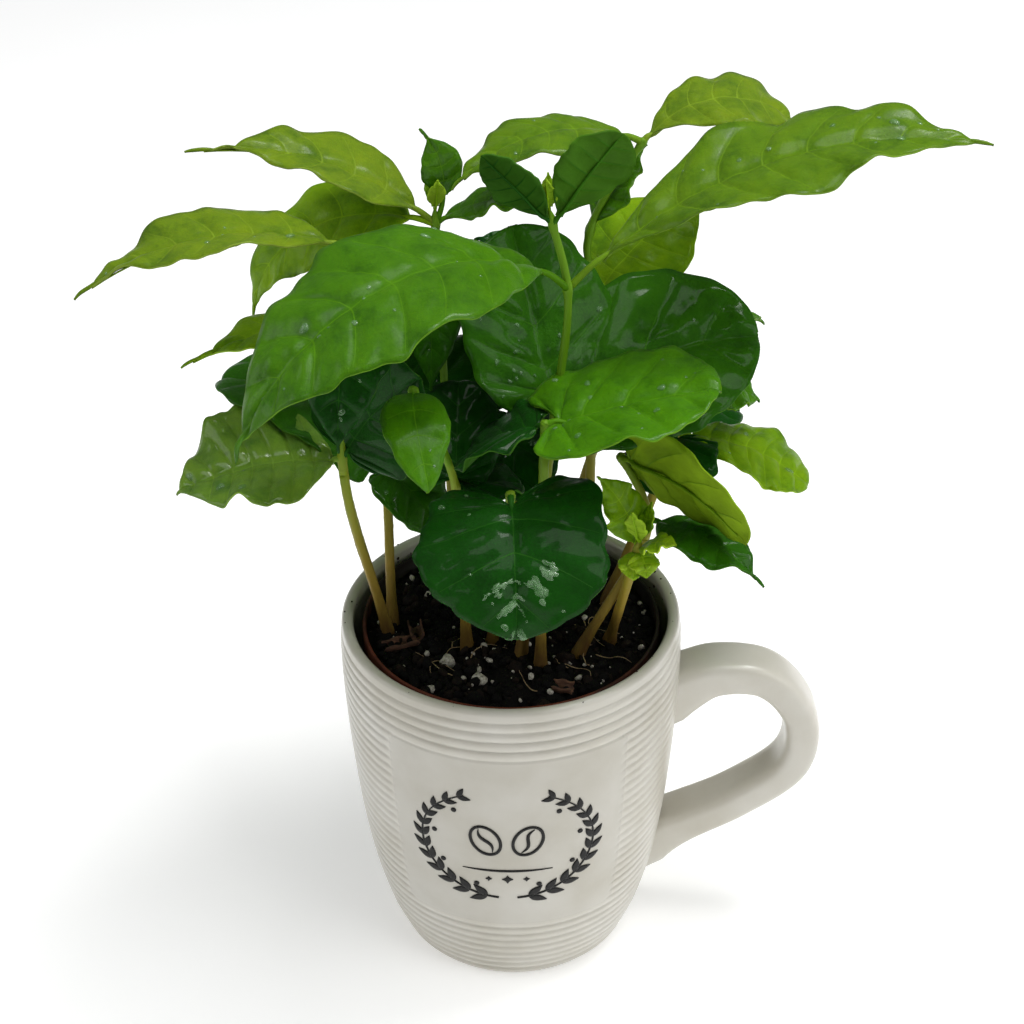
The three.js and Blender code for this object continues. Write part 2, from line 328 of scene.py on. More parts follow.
# mug
mug = {
    "outer": [
        (31.6, 0.6), (32.4, 2), (33.6, 5), (35.6, 10), (37.7, 17.5), (39.5, 25.5),
        (41.9, 41), (43.4, 56), (44.5, 71), (45.2, 87), (45.1, 97), (44.7, 100.5),
    ],  # radius and height up the wall
    "wall": 3.1,
    "floor": 5.0,
    "innerFoot": 3.0,  # where the straight inner wall ends above the floor
    "footCurve": [(1.2, 0.8), (4.0, 0.0)],  # in from the inner wall and up from the floor
    "lipRound": 1.5,
    "footRing": (30.9, 28.4, 27.2, 1.3),  # outer edge, inner edge, recess edge, recess height
    "ribFirst": 3.1,  # height of the lowest groove
    "ribPitch": 2.98,
    "ribTop": 98.6,
    "ribFade": 0.6,
    "ribDepth": 0.8,
    "ribRound": 0.55,
    "panelMiddle": -2.5,  # degrees round from the front
    "panelHalf": 43.0,
    "panelFoot": 26.2,
    "panelTop": 86.6,
    "panelCorner": 3.0,
    "panelSink": 0.15,
    "panelPaintedShade": 0.9,  # painted shade: the smooth panel's glaze is darker than the ribs' to stand in for its shade
    "edgeSoft": 0.9,
    "creams": [(0.3, (194, 189, 175)), (0.55, (206, 202, 191)), (0.75, (213, 210, 201))],
    "perSpan": 12,
    "columns": 264,
    "rowsPerRib": 9,
    "lipSteps": 11,
    "innerRows": 40,
}
mugWallLine = smoothLine(mug["outer"], mug["perSpan"])


def mugRadius(height):
    return np.interp(height, mugWallLine[:, 1], mugWallLine[:, 0])


def onMug(across, height, lift):
    # a place on the mug's panel: mm across from its middle, height, and mm off the wall
    radius = mugRadius(height)
    turn = math.radians(mug["panelMiddle"]) + np.asarray(across) / radius
    reach = radius + lift
    place = [reach * np.sin(turn), -reach * np.cos(turn), np.broadcast_to(height, np.shape(turn))]
    return np.stack(place, axis=-1)


def panelShare(turn, height):
    # 1 on the smooth panel, 0 on the ribs, soft at the edge
    radius = mugRadius(height)
    middle = math.radians(mug["panelMiddle"])
    half = math.radians(mug["panelHalf"])
    across = np.abs((turn - middle + math.pi) % (2 * math.pi) - math.pi)
    corner = mug["panelCorner"]
    sideways = (across - half) * radius + corner
    upper = np.abs(height - (mug["panelFoot"] + mug["panelTop"]) / 2)
    upper = upper - (mug["panelTop"] - mug["panelFoot"]) / 2 + corner
    outside = np.hypot(np.maximum(sideways, 0), np.maximum(upper, 0)) - corner
    inside = np.minimum(np.maximum(sideways, upper), 0)
    return 1 - ease(outside + inside, -mug["edgeSoft"], mug["edgeSoft"])


def ribSink(turn, height):
    wave = np.abs(np.sin(math.pi * (height - mug["ribFirst"]) / mug["ribPitch"])) ** mug["ribRound"]
    above = height > mug["ribFirst"] - mug["ribPitch"]
    ribbed = above * (1 - ease(height, mug["ribTop"], mug["ribTop"] + mug["ribFade"]))
    panel = panelShare(turn, height)
    return (1 - wave) * mug["ribDepth"] * ribbed * (1 - panel) + mug["panelSink"] * panel


def glazeFinish(name, shade):
    finish, tree, shader = newFinish(name, Coat_Weight=0.35, Coat_Roughness=0.12, IOR=1.5)
    cloud = grain(tree, 22, 5)
    tinted(tree, shader, cloud, [(spot, (*cream, shade)) for spot, cream in mug["creams"]])
    fine = grain(tree, 2.4, 3)
    varied(tree, shader, "Roughness", fine, 0.28, 0.42)
    bumped(tree, shader, fine, 0.05)
    return finish


def mugProfile():
    # radius and height from the recess under the mug, up the outside and down the inside to its floor
    ring, inner, recess, recessTop = mug["footRing"]
    bottom = mug["outer"][0][1]
    top = mug["outer"][-1][1]
    rows = int((top - bottom) / mug["ribPitch"] * mug["rowsPerRib"])
    profile = [(0, recessTop), (recess * 0.5, recessTop), (recess, recessTop), (inner, 0), (ring, 0)]
    wallRows = slice(len(profile), len(profile) + rows)
    profile += [(float(mugRadius(height)), height) for height in np.linspace(bottom, top, rows)]
    lipHalf = mug["wall"] / 2
    lipMiddle = mug["outer"][-1][0] - lipHalf
    for turn in np.linspace(0, math.pi, mug["lipSteps"])[1:-1]:
        profile.append((lipMiddle + lipHalf * math.cos(turn), top + mug["lipRound"] * math.sin(turn)))
    for height in np.linspace(top, mug["floor"] + mug["innerFoot"], mug["innerRows"]):
        profile.append((float(mugRadius(height)) - mug["wall"], height))
    innerFoot = float(mugRadius(mug["floor"])) - mug["wall"]
    profile += [(innerFoot - inward, mug["floor"] + rise) for inward, rise in mug["footCurve"]]
    profile.append((0, mug["floor"]))
    return np.array(profile), wallRows


def mugBody(glaze):
    bag = newBag()
    columns = mug["columns"]
    profile, wallRows = mugProfile()
    turns = np.broadcast_to(ringTurns(columns), (len(profile), columns))
    height = np.repeat(profile[:, 1:], columns, axis=1)
    outside = np.zeros((len(profile), 1), bool)
    outside[wallRows] = True
    radius = np.repeat(profile[:, :1], columns, axis=1) - ribSink(turns, height) * outside
    radius[[0, -1]] = poleRadius
    grid = np.stack([radius * np.sin(turns), -radius * np.cos(turns), height], axis=-1)
    start = addGrid(bag, grid, 0, around=True)
    # painted shade: faces on the panel take the darker copy of the glaze
    onPanel = panelShare(turns, height) * outside > 0.5
    bag["finish"] = onPanel[:-1].astype(int).ravel().tolist()
    closeEnds(bag, start, len(profile), columns)
    makePiece("mug", bag, [glaze, glazeFinish("panelShadedGlaze", mug["panelPaintedShade"])], ["mug_body"])


handle = {
    "line": [
        (36, 73.8), (47, 78), (55, 81), (68.6, 79.2), (78.2, 66.6), (77.2, 50.8), (62.6, 37.9), (47, 29.6),
        (34, 23.4), (24, 18.6),
    ],  # out from the mug's middle and height
    "across": 6.9,  # half the strap's width
    "thick": 4.75,
    "square": 4.0,  # how square the strap's section is
    "fillet": 0.85,  # the roots spread down the wall
    "filletReach": 4.0,
    "flareThick": 0.6,
    "flareAcross": 0.12,
    "flareReach": 4,
    "sunk": 1.6,
    "perSpan": 16,
    "steps": 90,
    "sides": 36,
}


def mugHandle(glaze):
    bag = newBag()
    line = smoothLine([(out, 0, height) for out, height in handle["line"]], handle["perSpan"])
    shares = np.linspace(0, 1, handle["steps"])
    line = alongLine(line, shares)
    tangents = unit(np.gradient(line, axis=0))
    out = np.stack([-tangents[:, 2], np.zeros(len(line)), tangents[:, 0]], axis=-1)
    ends = np.abs(2 * shares - 1) ** handle["flareReach"]
    turns = ringTurns(handle["sides"])
    power = 2 / handle["square"]
    wide = np.sign(np.cos(turns)) * np.abs(np.cos(turns)) ** power
    high = np.sign(np.sin(turns)) * np.abs(np.sin(turns)) ** power
    halfWide = handle["across"] * (1 + handle["flareAcross"] * ends)
    halfHigh = handle["thick"] * (1 + handle["flareThick"] * ends[:, None])
    grid = line[:, None, :] + out[:, None, :] * (halfHigh * high)[..., None]
    grid[..., 1] -= halfWide[:, None] * wide
    gap = np.maximum(line[:, 0] - mugRadius(line[:, 2]), 0)
    fillet = handle["fillet"] * np.exp(-gap / handle["filletReach"])[:, None]
    downward = (high > 0) == (shares > 0.5)[:, None]  # the strap's underside, on both arms
    grid[..., 2] -= handle["thick"] * fillet * downward * np.abs(high)
    reach = np.hypot(grid[..., 0], grid[..., 1])
    least = mugRadius(grid[..., 2]) - handle["sunk"]  # the roots end inside the wall
    grid[..., :2] *= np.maximum(1, least / np.maximum(reach, 1e-6))[..., None]
    start = addGrid(bag, grid, 0, around=True)
    closeEnds(bag, start, handle["steps"], handle["sides"])
    makePiece("handle", bag, [glaze], ["mug_handle"])


glaze = glazeFinish("creamGlaze", 1.0)
mugBody(glaze)
mugHandle(glaze)

# printed wreath of leaves on the panel
wreath = {
    "middle": 57.0,  # height of its centre
    "halfWide": 23.5,
    "halfHigh": 19.5,
    "from": -84.0,  # degrees round the oval, for the right branch
    "to": 62.0,
    "steps": 60,
    "twig": 0.32,
    "twigTip": 0.5,  # as a share of the twig
    "pairs": 12,
    "firstPair": 0.6,  # of the way between two pairs
    "leafLong": 5.4,
    "leafHalf": 1.15,
    "leafOpen": 34.0,
    "leafShrink": 0.35,  # towards the tip of the branch
    "berry": 0.75,
    "berryEvery": 3,
    "berryInset": 3.6,
    "beanLong": 5.2,
    "beanHalf": 3.7,
    "beanLine": 0.42,
    "beanApart": 5.6,
    "beanRise": 2.0,
    "beanLean": 24.0,
    "slit": 0.86,  # as a share of the bean
    "slitSway": 0.8,
    "ruleHalf": 12.0,
    "ruleDrop": 9.0,
    "stars": [(-5.0, 0.9), (0.0, 1.5), (5.0, 0.9)],  # place across and size
    "starDrop": 3.2,
    "starWaist": 0.55,
    "lift": 0.07,
    "sunk": 0.35,
}


def addDecal(bag, outline):
    # a thin filled shape that hugs the panel
    outline = np.asarray(outline, float)
    count = len(outline)
    middle = outline.mean(axis=0)
    inner = (outline + middle) / 2
    layers = []
    for spots, lift in ((outline, -wreath["sunk"]), (outline, wreath["lift"]), (inner, wreath["lift"])):
        layers.append(onMug(spots[:, 0], wreath["middle"] + spots[:, 1], lift))
    start = addGrid(bag, np.array(layers), 0, around=True)
    centre = onMug(middle[0], wreath["middle"] + middle[1], wreath["lift"])
    addFan(bag, start + 2 * count, count, centre, 0)


def addBand(bag, line, half):
    # a thin line of ink along flat points
    line = np.asarray(line, float)
    across = unit(np.gradient(line, axis=0))[:, ::-1] * np.array([-1.0, 1.0])
    half = np.broadcast_to(half, len(line))[:, None]
    low = -wreath["sunk"]
    high = wreath["lift"]
    edges = []
    for side, lift in ((1, low), (1, high), (-1, high), (-1, low)):
        spots = line + across * half * side
        edges.append(onMug(spots[:, 0], wreath["middle"] + spots[:, 1], lift))
    addGrid(bag, np.array(edges).transpose(1, 0, 2), 0, flip=True)


def flatTurn(lean):
    return np.array([[math.cos(lean), math.sin(lean)], [-math.sin(lean), math.cos(lean)]])


def flatRing(turns):
    return np.stack([np.cos(turns), np.sin(turns)], axis=-1)


def leafOutline(root, lean, length, half):
    share = np.linspace(0, 1, 9)
    swell = np.sin(math.pi * share ** 0.8) * half
    under = np.stack([share * length, -swell], axis=-1)
    over = np.stack([share * length, swell], axis=-1)
    return np.concatenate([under, over[-2:0:-1]]) @ flatTurn(lean) + root


def inkFinish():
    finish, tree, shader = newFinish("inkBlack", Specular_IOR_Level=0.2)
    speck = grain(tree, 0.8, 3)
    tinted(tree, shader, speck, [(0.35, (16, 16, 16)), (0.7, (34, 33, 32))])
    varied(tree, shader, "Roughness", speck, 0.35, 0.55)
    return finish


def addBranch(bag, side):
    # half of the wreath: a twig, pairs of leaves and some berries
    oval = np.array([wreath["halfWide"], wreath["halfHigh"]])
    sweep = wreath["to"] - wreath["from"]
    turns = np.radians(np.linspace(wreath["from"], wreath["to"], wreath["steps"]))
    branch = np.stack([np.cos(turns) * side, np.sin(turns)], axis=-1) * oval
    taper = np.linspace(1, wreath["twigTip"], wreath["steps"])
    addBand(bag, branch[::side], taper[::side] * wreath["twig"])
    for pair in range(wreath["pairs"]):
        turn = math.radians(wreath["from"] + sweep * (pair + wreath["firstPair"]) / wreath["pairs"])
        root = np.array([math.cos(turn) * side, math.sin(turn)]) * oval
        ahead = np.array([-math.sin(turn) * side, math.cos(turn)]) * oval
        heading = math.atan2(ahead[1], ahead[0])
        small = 1 - wreath["leafShrink"] * pair / wreath["pairs"]
        for spread in (-1, 1):
            lean = heading + spread * math.radians(wreath["leafOpen"])
            addDecal(bag, leafOutline(root, lean, wreath["leafLong"] * small, wreath["leafHalf"] * small))
        if pair % wreath["berryEvery"] == 1:
            inward = root * (1 - wreath["berryInset"] / np.linalg.norm(root))
            addDecal(bag, inward + wreath["berry"] * flatRing(np.radians(np.arange(0, 360, 36))))


def addBean(bag, side):
    turn = flatTurn(math.radians(90 - side * wreath["beanLean"]))
    spot = np.array([side * wreath["beanApart"], wreath["beanRise"]])
    shell = flatRing(np.linspace(0, 2 * math.pi, 49)) * np.array([wreath["beanLong"], wreath["beanHalf"]])
    addBand(bag, shell @ turn + spot, wreath["beanLine"])
    share = np.linspace(-1, 1, 25)
    sway = np.sin(share * math.pi) * wreath["slitSway"]
    slit = np.stack([share * wreath["beanLong"] * wreath["slit"], sway], axis=-1)
    addBand(bag, slit @ turn + spot, wreath["beanLine"] * (1.15 - share ** 2))


def addRule(bag):
    # a line that thins to its ends, with stars under it
    share = np.linspace(-1, 1, 41)
    rule = np.stack([share * wreath["ruleHalf"], np.full(41, -wreath["ruleDrop"])], axis=-1)
    addBand(bag, rule, wreath["twig"] * (1.1 - share ** 2))
    reach = np.where(np.arange(8) % 2 == 0, 1.0, wreath["starWaist"])[:, None]
    star = reach * flatRing(np.radians(np.arange(0, 360, 45)))
    for place, size in wreath["stars"]:
        addDecal(bag, star * size + np.array([place, -wreath["ruleDrop"] - wreath["starDrop"]]))


def panelWreath():
    bag = newBag()
    for side in (1, -1):
        addBranch(bag, side)
    for side in (1, -1):
        addBean(bag, side)
    addRule(bag)
    makePiece("panel_wreath", bag, [inkFinish()])


panelWreath()

# nursery pot and soil
pot = {
    "rim": 39.4,
    "wall": 0.9,
    "rimTop": 99.4,
    "rimDeep": 6.0,
    "band": 2.2,  # how far the rim stands out
    "edge": 0.3,  # rounding under the rim
    "lipEdge": (0.2, 0.35),  # rounding of its top, across and down
    "foot": 27.0,
    "footHeight": 5.3,
    "wobble": 0.35,
    "darkerToBack": (6.0, 14.0, 0.0),  # darker from the front left to the back right
    "browns": [(0.0, (104, 50, 34)), (0.18, (84, 42, 28)), (0.42, (34, 23, 17)), (0.9, (20, 15, 12))],
    "columns": 120,
}


def plasticFinish():
    finish, tree, shader = newFinish("terracottaPlastic", Specular_IOR_Level=0.25)
    cloud = grain(tree, 6, 5)
    place = tree.nodes.new("ShaderNodeTexCoord")
    back = tree.nodes.new("ShaderNodeVectorMath")
    back.operation = "DOT_PRODUCT"
    back.inputs[1].default_value = pot["darkerToBack"]
    # the colour darkens from the front left to the back right
    darkerToBack = tree.nodes.new("ShaderNodeMath")
    darkerToBack.operation = "ADD"
    tree.links.new(place.outputs["Object"], back.inputs[0])
    tree.links.new(back.outputs["Value"], darkerToBack.inputs[0])
    tree.links.new(cloud, darkerToBack.inputs[1])
    tinted(tree, shader, darkerToBack.outputs["Value"], pot["browns"])
    varied(tree, shader, "Roughness", cloud, 0.4, 0.65)
    bumped(tree, shader, grain(tree, 0.7), 0.06)
    return finish


def nurseryPot():
    bag = newBag()
    columns = pot["columns"]
    wall = pot["wall"]
    rim = pot["rim"]
    top = pot["rimTop"]
    foot = pot["footHeight"]
    bandFoot = top - pot["rimDeep"]
    ledge = rim - pot["band"]
    edge = pot["edge"]
    across, down = pot["lipEdge"]
    profile = np.array([
        (poleRadius, foot), (pot["foot"], foot), (ledge, bandFoot - edge), (rim - edge, bandFoot),
        (rim, bandFoot + edge), (rim, top - down), (rim - across, top),
        (rim - wall + across, top), (rim - wall, top - down),
        (rim - wall, bandFoot + wall), (ledge - wall, bandFoot + wall),
        (pot["foot"] - wall, foot + wall), (poleRadius, foot + wall),
    ])
    turns = ringTurns(columns)
    sway = pot["wobble"] * (np.sin(2 * turns + 0.6) + 0.5 * np.sin(5 * turns))
    high = ease(profile[:, 1], bandFoot, top)[:, None]
    radius = profile[:, :1] + sway * 0.5 * high * (profile[:, :1] > 1)
    height = np.repeat(profile[:, 1:], columns, axis=1) + 0.3 * sway * high
    grid = np.stack([radius * np.sin(turns), -radius * np.cos(turns), height], axis=-1)
    start = addGrid(bag, grid, 0, around=True)
    closeEnds(bag, start, len(profile), columns)
    makePiece("nursery_pot_shell", bag, [plasticFinish()], ["nursery_pot"])


soil = {
    "radius": 38.2,
    "top": 97.0,
    "foot": (0.66, 6.5),  # share of the radius, and height
    "ledge": (0.94, 4.0),  # share of the radius, and depth under the top
    "sag": 1.4,
    "sagReach": 7,  # in from the wall
    "lumps": 26,  # waves in the heaped surface
    "lumpHigh": 0.11,
    "grit": 0.16,
    "crumbs": 1500,
    "crumbSize": (0.5, 2.0),
    "brownCrumbs": 0.3,  # their share
    "perlite": 130,
    "perliteSize": (0.25, 1.1),
    "bigPerlite": [(-16.5, -16.5, 2.0), (-8.2, -24.5, 2.2), (-20.5, -27.0, 1.5)],
    "hairs": 24,
    "hairLength": (6.0, 16.0),
    "hairThick": (0.16, 0.06),
    "hairSteps": 8,
    "chips": [(-29, -9, 20, 9.0), (-25, -3.5, 100, 6.5), (13, -30, -15, 5.0)],  # place, heading, length
    "rings": 70,
    "columns": 200,
    "seed": 5,
}
soilDice = np.random.default_rng(soil["seed"])
soilWaves = [
    (soilDice.uniform(0.12, 1.1), soilDice.uniform(0, 2 * math.pi), soilDice.uniform(0, 2 * math.pi))
    for wave in range(soil["lumps"])
]


def soilHeight(x, y):
    # heaped peat, lower at the rim
    sagFrom = soil["radius"] - soil["sagReach"]
    height = soil["top"] - soil["sag"] * ease(np.hypot(x, y), sagFrom, soil["radius"])
    for pace, heading, start in soilWaves:
        run = x * math.cos(heading) + y * math.sin(heading)
        height = height + soil["lumpHigh"] / pace ** 0.7 * np.sin(pace * run + start)
    return height


lumpShape = bmesh.new()
bmesh.ops.create_icosphere(lumpShape, subdivisions=2, radius=1)
lumpPoints = np.array([list(vertex.co) for vertex in lumpShape.verts])
lumpFaces = np.array([[vertex.index for vertex in face.verts] for face in lumpShape.faces])
lumpShape.free()


def addLump(bag, dice, place, sizes, finish, rough):
    # a small uneven grain
    spin = np.linalg.qr(dice.normal(size=(3, 3)))[0]
    if np.linalg.det(spin) < 0:
        spin[:, 0] *= -1
    pushes = dice.normal(size=(3, 3)) * 1.6
    uneven = 1 + rough * np.sin(lumpPoints @ pushes.T + dice.uniform(0, 6, 3)).mean(axis=1)
    grains = lumpPoints * uneven[:, None] * np.asarray(sizes) @ spin
    start = addPoints(bag, grains + place)
    addFaces(bag, lumpFaces + start, finish)


def pickSize(dice, limits, power):
    # between two limits, the more often near the lower the higher the power
    return limits[0] + (limits[1] - limits[0]) * dice.uniform() ** power


def discSpot(dice, reach):
    turn = dice.uniform(0, 2 * math.pi)
    out = reach * math.sqrt(dice.uniform(0, 1))
    return out * math.cos(turn), out * math.sin(turn)


def onSoil(x, y, lift):
    return np.array([x, y, soilHeight(x, y) + lift])


def peatFinish(name, dark, light, rough):
    finish, tree, shader = newFinish(name, Specular_IOR_Level=0.16)
    cloud = grain(tree, 1.6, 6)
    tinted(tree, shader, cloud, [(0.35, dark), (0.75, light)])
    varied(tree, shader, "Roughness", cloud, rough - 0.1, rough + 0.1)
    bumped(tree, shader, grain(tree, 0.6, 6), 0.5)
    return finish


def soilPlug():
    bag = newBag()
    dice = np.random.default_rng(soil["seed"] + 1)
    columns = soil["columns"]
    turns = ringTurns(columns)
    outs = np.linspace(poleRadius, soil["radius"], soil["rings"])
    x = outs[::-1, None] * np.cos(turns)
    y = outs[::-1, None] * np.sin(turns)
    top = np.stack([x, y, soilHeight(x, y) + dice.normal(size=x.shape) * soil["grit"]], axis=-1)
    footShare, footHeight = soil["foot"]
    ledgeShare, ledgeDeep = soil["ledge"]
    foot = np.stack([x[0] * footShare, y[0] * footShare, np.full(columns, footHeight)], axis=-1)
    ledgeHeight = np.full(columns, soil["top"] - ledgeDeep)
    ledge = np.stack([x[0] * ledgeShare, y[0] * ledgeShare, ledgeHeight], axis=-1)
    grid = np.concatenate([foot[None], ledge[None], top])
    start = addGrid(bag, grid, 0, around=True)
    closeEnds(bag, start, len(grid), columns)
    for crumb in range(soil["crumbs"]):
        x, y = discSpot(dice, soil["radius"] - 1.0)
        size = pickSize(dice, soil["crumbSize"], 3)
        place = onSoil(x, y, size * dice.uniform(-0.2, 0.4))
        sizes = size * dice.uniform(0.5, 1.1, 3)
        addLump(bag, dice, place, sizes, 1 if dice.uniform() < soil["brownCrumbs"] else 0, 0.5)
    finishes = [
        peatFinish("peatDark", (5, 4, 4), (15, 12, 10), 0.85),
        peatFinish("peatBrown", (14, 10, 7), (38, 27, 20), 0.8),
    ]
    makePiece("soil_heap", bag, finishes, ["soil"])


barkChip = {
    "radii": (1.9, 1.5),  # outer and inner side
    "curl": 1.9,  # half its sweep, in radians
    "rows": 14,
    "columns": 11,
    "torn": 0.12,
    "rise": 0.9,
    "warp": 0.25,
}


def addBark(bag, dice, x, y, heading, length):
    # a curled chip, thin and torn at the ends
    along = np.array([math.cos(heading), math.sin(heading), 0.0])
    across = np.array([-along[1], along[0], 0.0])
    shares = np.linspace(-0.5, 0.5, barkChip["rows"])[:, None]
    curls = np.linspace(-barkChip["curl"], barkChip["curl"], barkChip["columns"])
    base = onSoil(x, y, barkChip["rise"])
    layers = []
    for radius in barkChip["radii"]:
        torn = 1 + barkChip["torn"] * np.sin(curls * 5 + dice.uniform(0, 6))
        spots = base + (shares * torn * length)[..., None] * along
        spots = spots + (np.sin(curls) * radius)[None, :, None] * across
        rise = -np.cos(curls) * radius + barkChip["rise"] + barkChip["warp"] * np.sin(shares * 9 + curls)
        layers.append(spots + rise[..., None] * upward)
    addShell(bag, layers[0], layers[1], 2, 2)


def addRootHair(bag, dice):
    # a thin wandering root that lies on the peat
    x, y = discSpot(dice, soil["radius"] - 6)
    length = dice.uniform(*soil["hairLength"])
    heading = dice.uniform(0, 2 * math.pi)
    bend = dice.uniform(-0.25, 0.25)
    steps = soil["hairSteps"]
    spots = []
    for step in range(steps + 1):
        spots.append((x, y, soilHeight(x, y) + 0.5 + 0.7 * math.sin(math.pi * step / steps)))
        heading += bend + dice.normal() * 0.25
        x += length / steps * math.cos(heading)
        y += length / steps * math.sin(heading)
    spots = [spot for spot in spots if math.hypot(spot[0], spot[1]) < soil["radius"] - 0.8]
    if len(spots) > 3:
        line = smoothLine(spots, 3)
        addTube(bag, line, np.linspace(*soil["hairThick"], len(line)), 5, 1)


def bitFinishes():
    white, tree, shader = newFinish("perlite", Roughness=0.9)
    greys = [(0.3, (110, 103, 92)), (0.52, (176, 170, 158)), (0.7, (208, 204, 194))]
    tinted(tree, shader, grain(tree, 0.7), greys)
    bumped(tree, shader, grain(tree, 0.3), 0.2)
    root, tree, shader = newFinish("rootHair", Roughness=0.75)
    tinted(tree, shader, grain(tree, 2.5), [(0.3, (120, 96, 66)), (0.7, (168, 146, 110))])
    bark, tree, shader = newFinish("barkChip", Roughness=0.85)
    fibres = grain(tree, 1.1, 6, (0.35, 1, 1))
    tinted(tree, shader, fibres, [(0.3, (44, 27, 18)), (0.6, (92, 60, 41)), (0.8, (128, 92, 68))])
    bumped(tree, shader, fibres, 0.4)
    return [white, root, bark]


def soilBits():
    # perlite, root hairs and chips of bark
    bag = newBag()
    dice = np.random.default_rng(soil["seed"] + 2)
    for x, y, size in soil["bigPerlite"]:
        addLump(bag, dice, onSoil(x, y, size * 0.35), size * dice.uniform(0.7, 1.1, 3), 0, 0.5)
    for bit in range(soil["perlite"]):
        x, y = discSpot(dice, soil["radius"] - 1.5)
        size = pickSize(dice, soil["perliteSize"], 2)
        addLump(bag, dice, onSoil(x, y, size * 0.7), size * dice.uniform(0.6, 1.1, 3), 0, 0.5)
    for hair in range(soil["hairs"]):
        addRootHair(bag, dice)
    for x, y, heading, length in soil["chips"]:
        addBark(bag, dice, x, y, math.radians(heading), length)
    makePiece("soil_bits", bag, bitFinishes())


lipCrumbs = {
    "count": 70,
    "size": (0.14, 0.54),
    "onLip": 0.35,  # share that lies on the lip, the rest just inside it
    "stray": 0.9,
    "lipShare": 0.92,  # height on the lip's round
    "heights": (95, 100),
}


def lipDirt():
    # crumbs of soil on the lip and just inside it
    bag = newBag()
    dice = np.random.default_rng(soil["seed"] + 3)
    lipMiddle = mug["outer"][-1][0] - mug["wall"] / 2
    lipTop = mug["outer"][-1][1] + mug["lipRound"] * lipCrumbs["lipShare"]
    for crumb in range(lipCrumbs["count"]):
        turn = dice.uniform(0, 2 * math.pi)
        size = pickSize(dice, lipCrumbs["size"], 3)
        if dice.uniform() < lipCrumbs["onLip"]:
            out = lipMiddle + dice.uniform(-lipCrumbs["stray"], lipCrumbs["stray"])
            height = lipTop
        else:
            height = dice.uniform(*lipCrumbs["heights"])
            out = float(mugRadius(height)) - mug["wall"]
        place = np.array([out * math.cos(turn), out * math.sin(turn), height])
        addLump(bag, dice, place, size * dice.uniform(0.6, 1.1, 3), 0, 0.4)
    makePiece("lip_crumbs", bag, [peatFinish("crumbPeat", (34, 26, 18), (70, 54, 40), 0.8)])


nurseryPot()
soilPlug()
soilBits()
lipDirt()

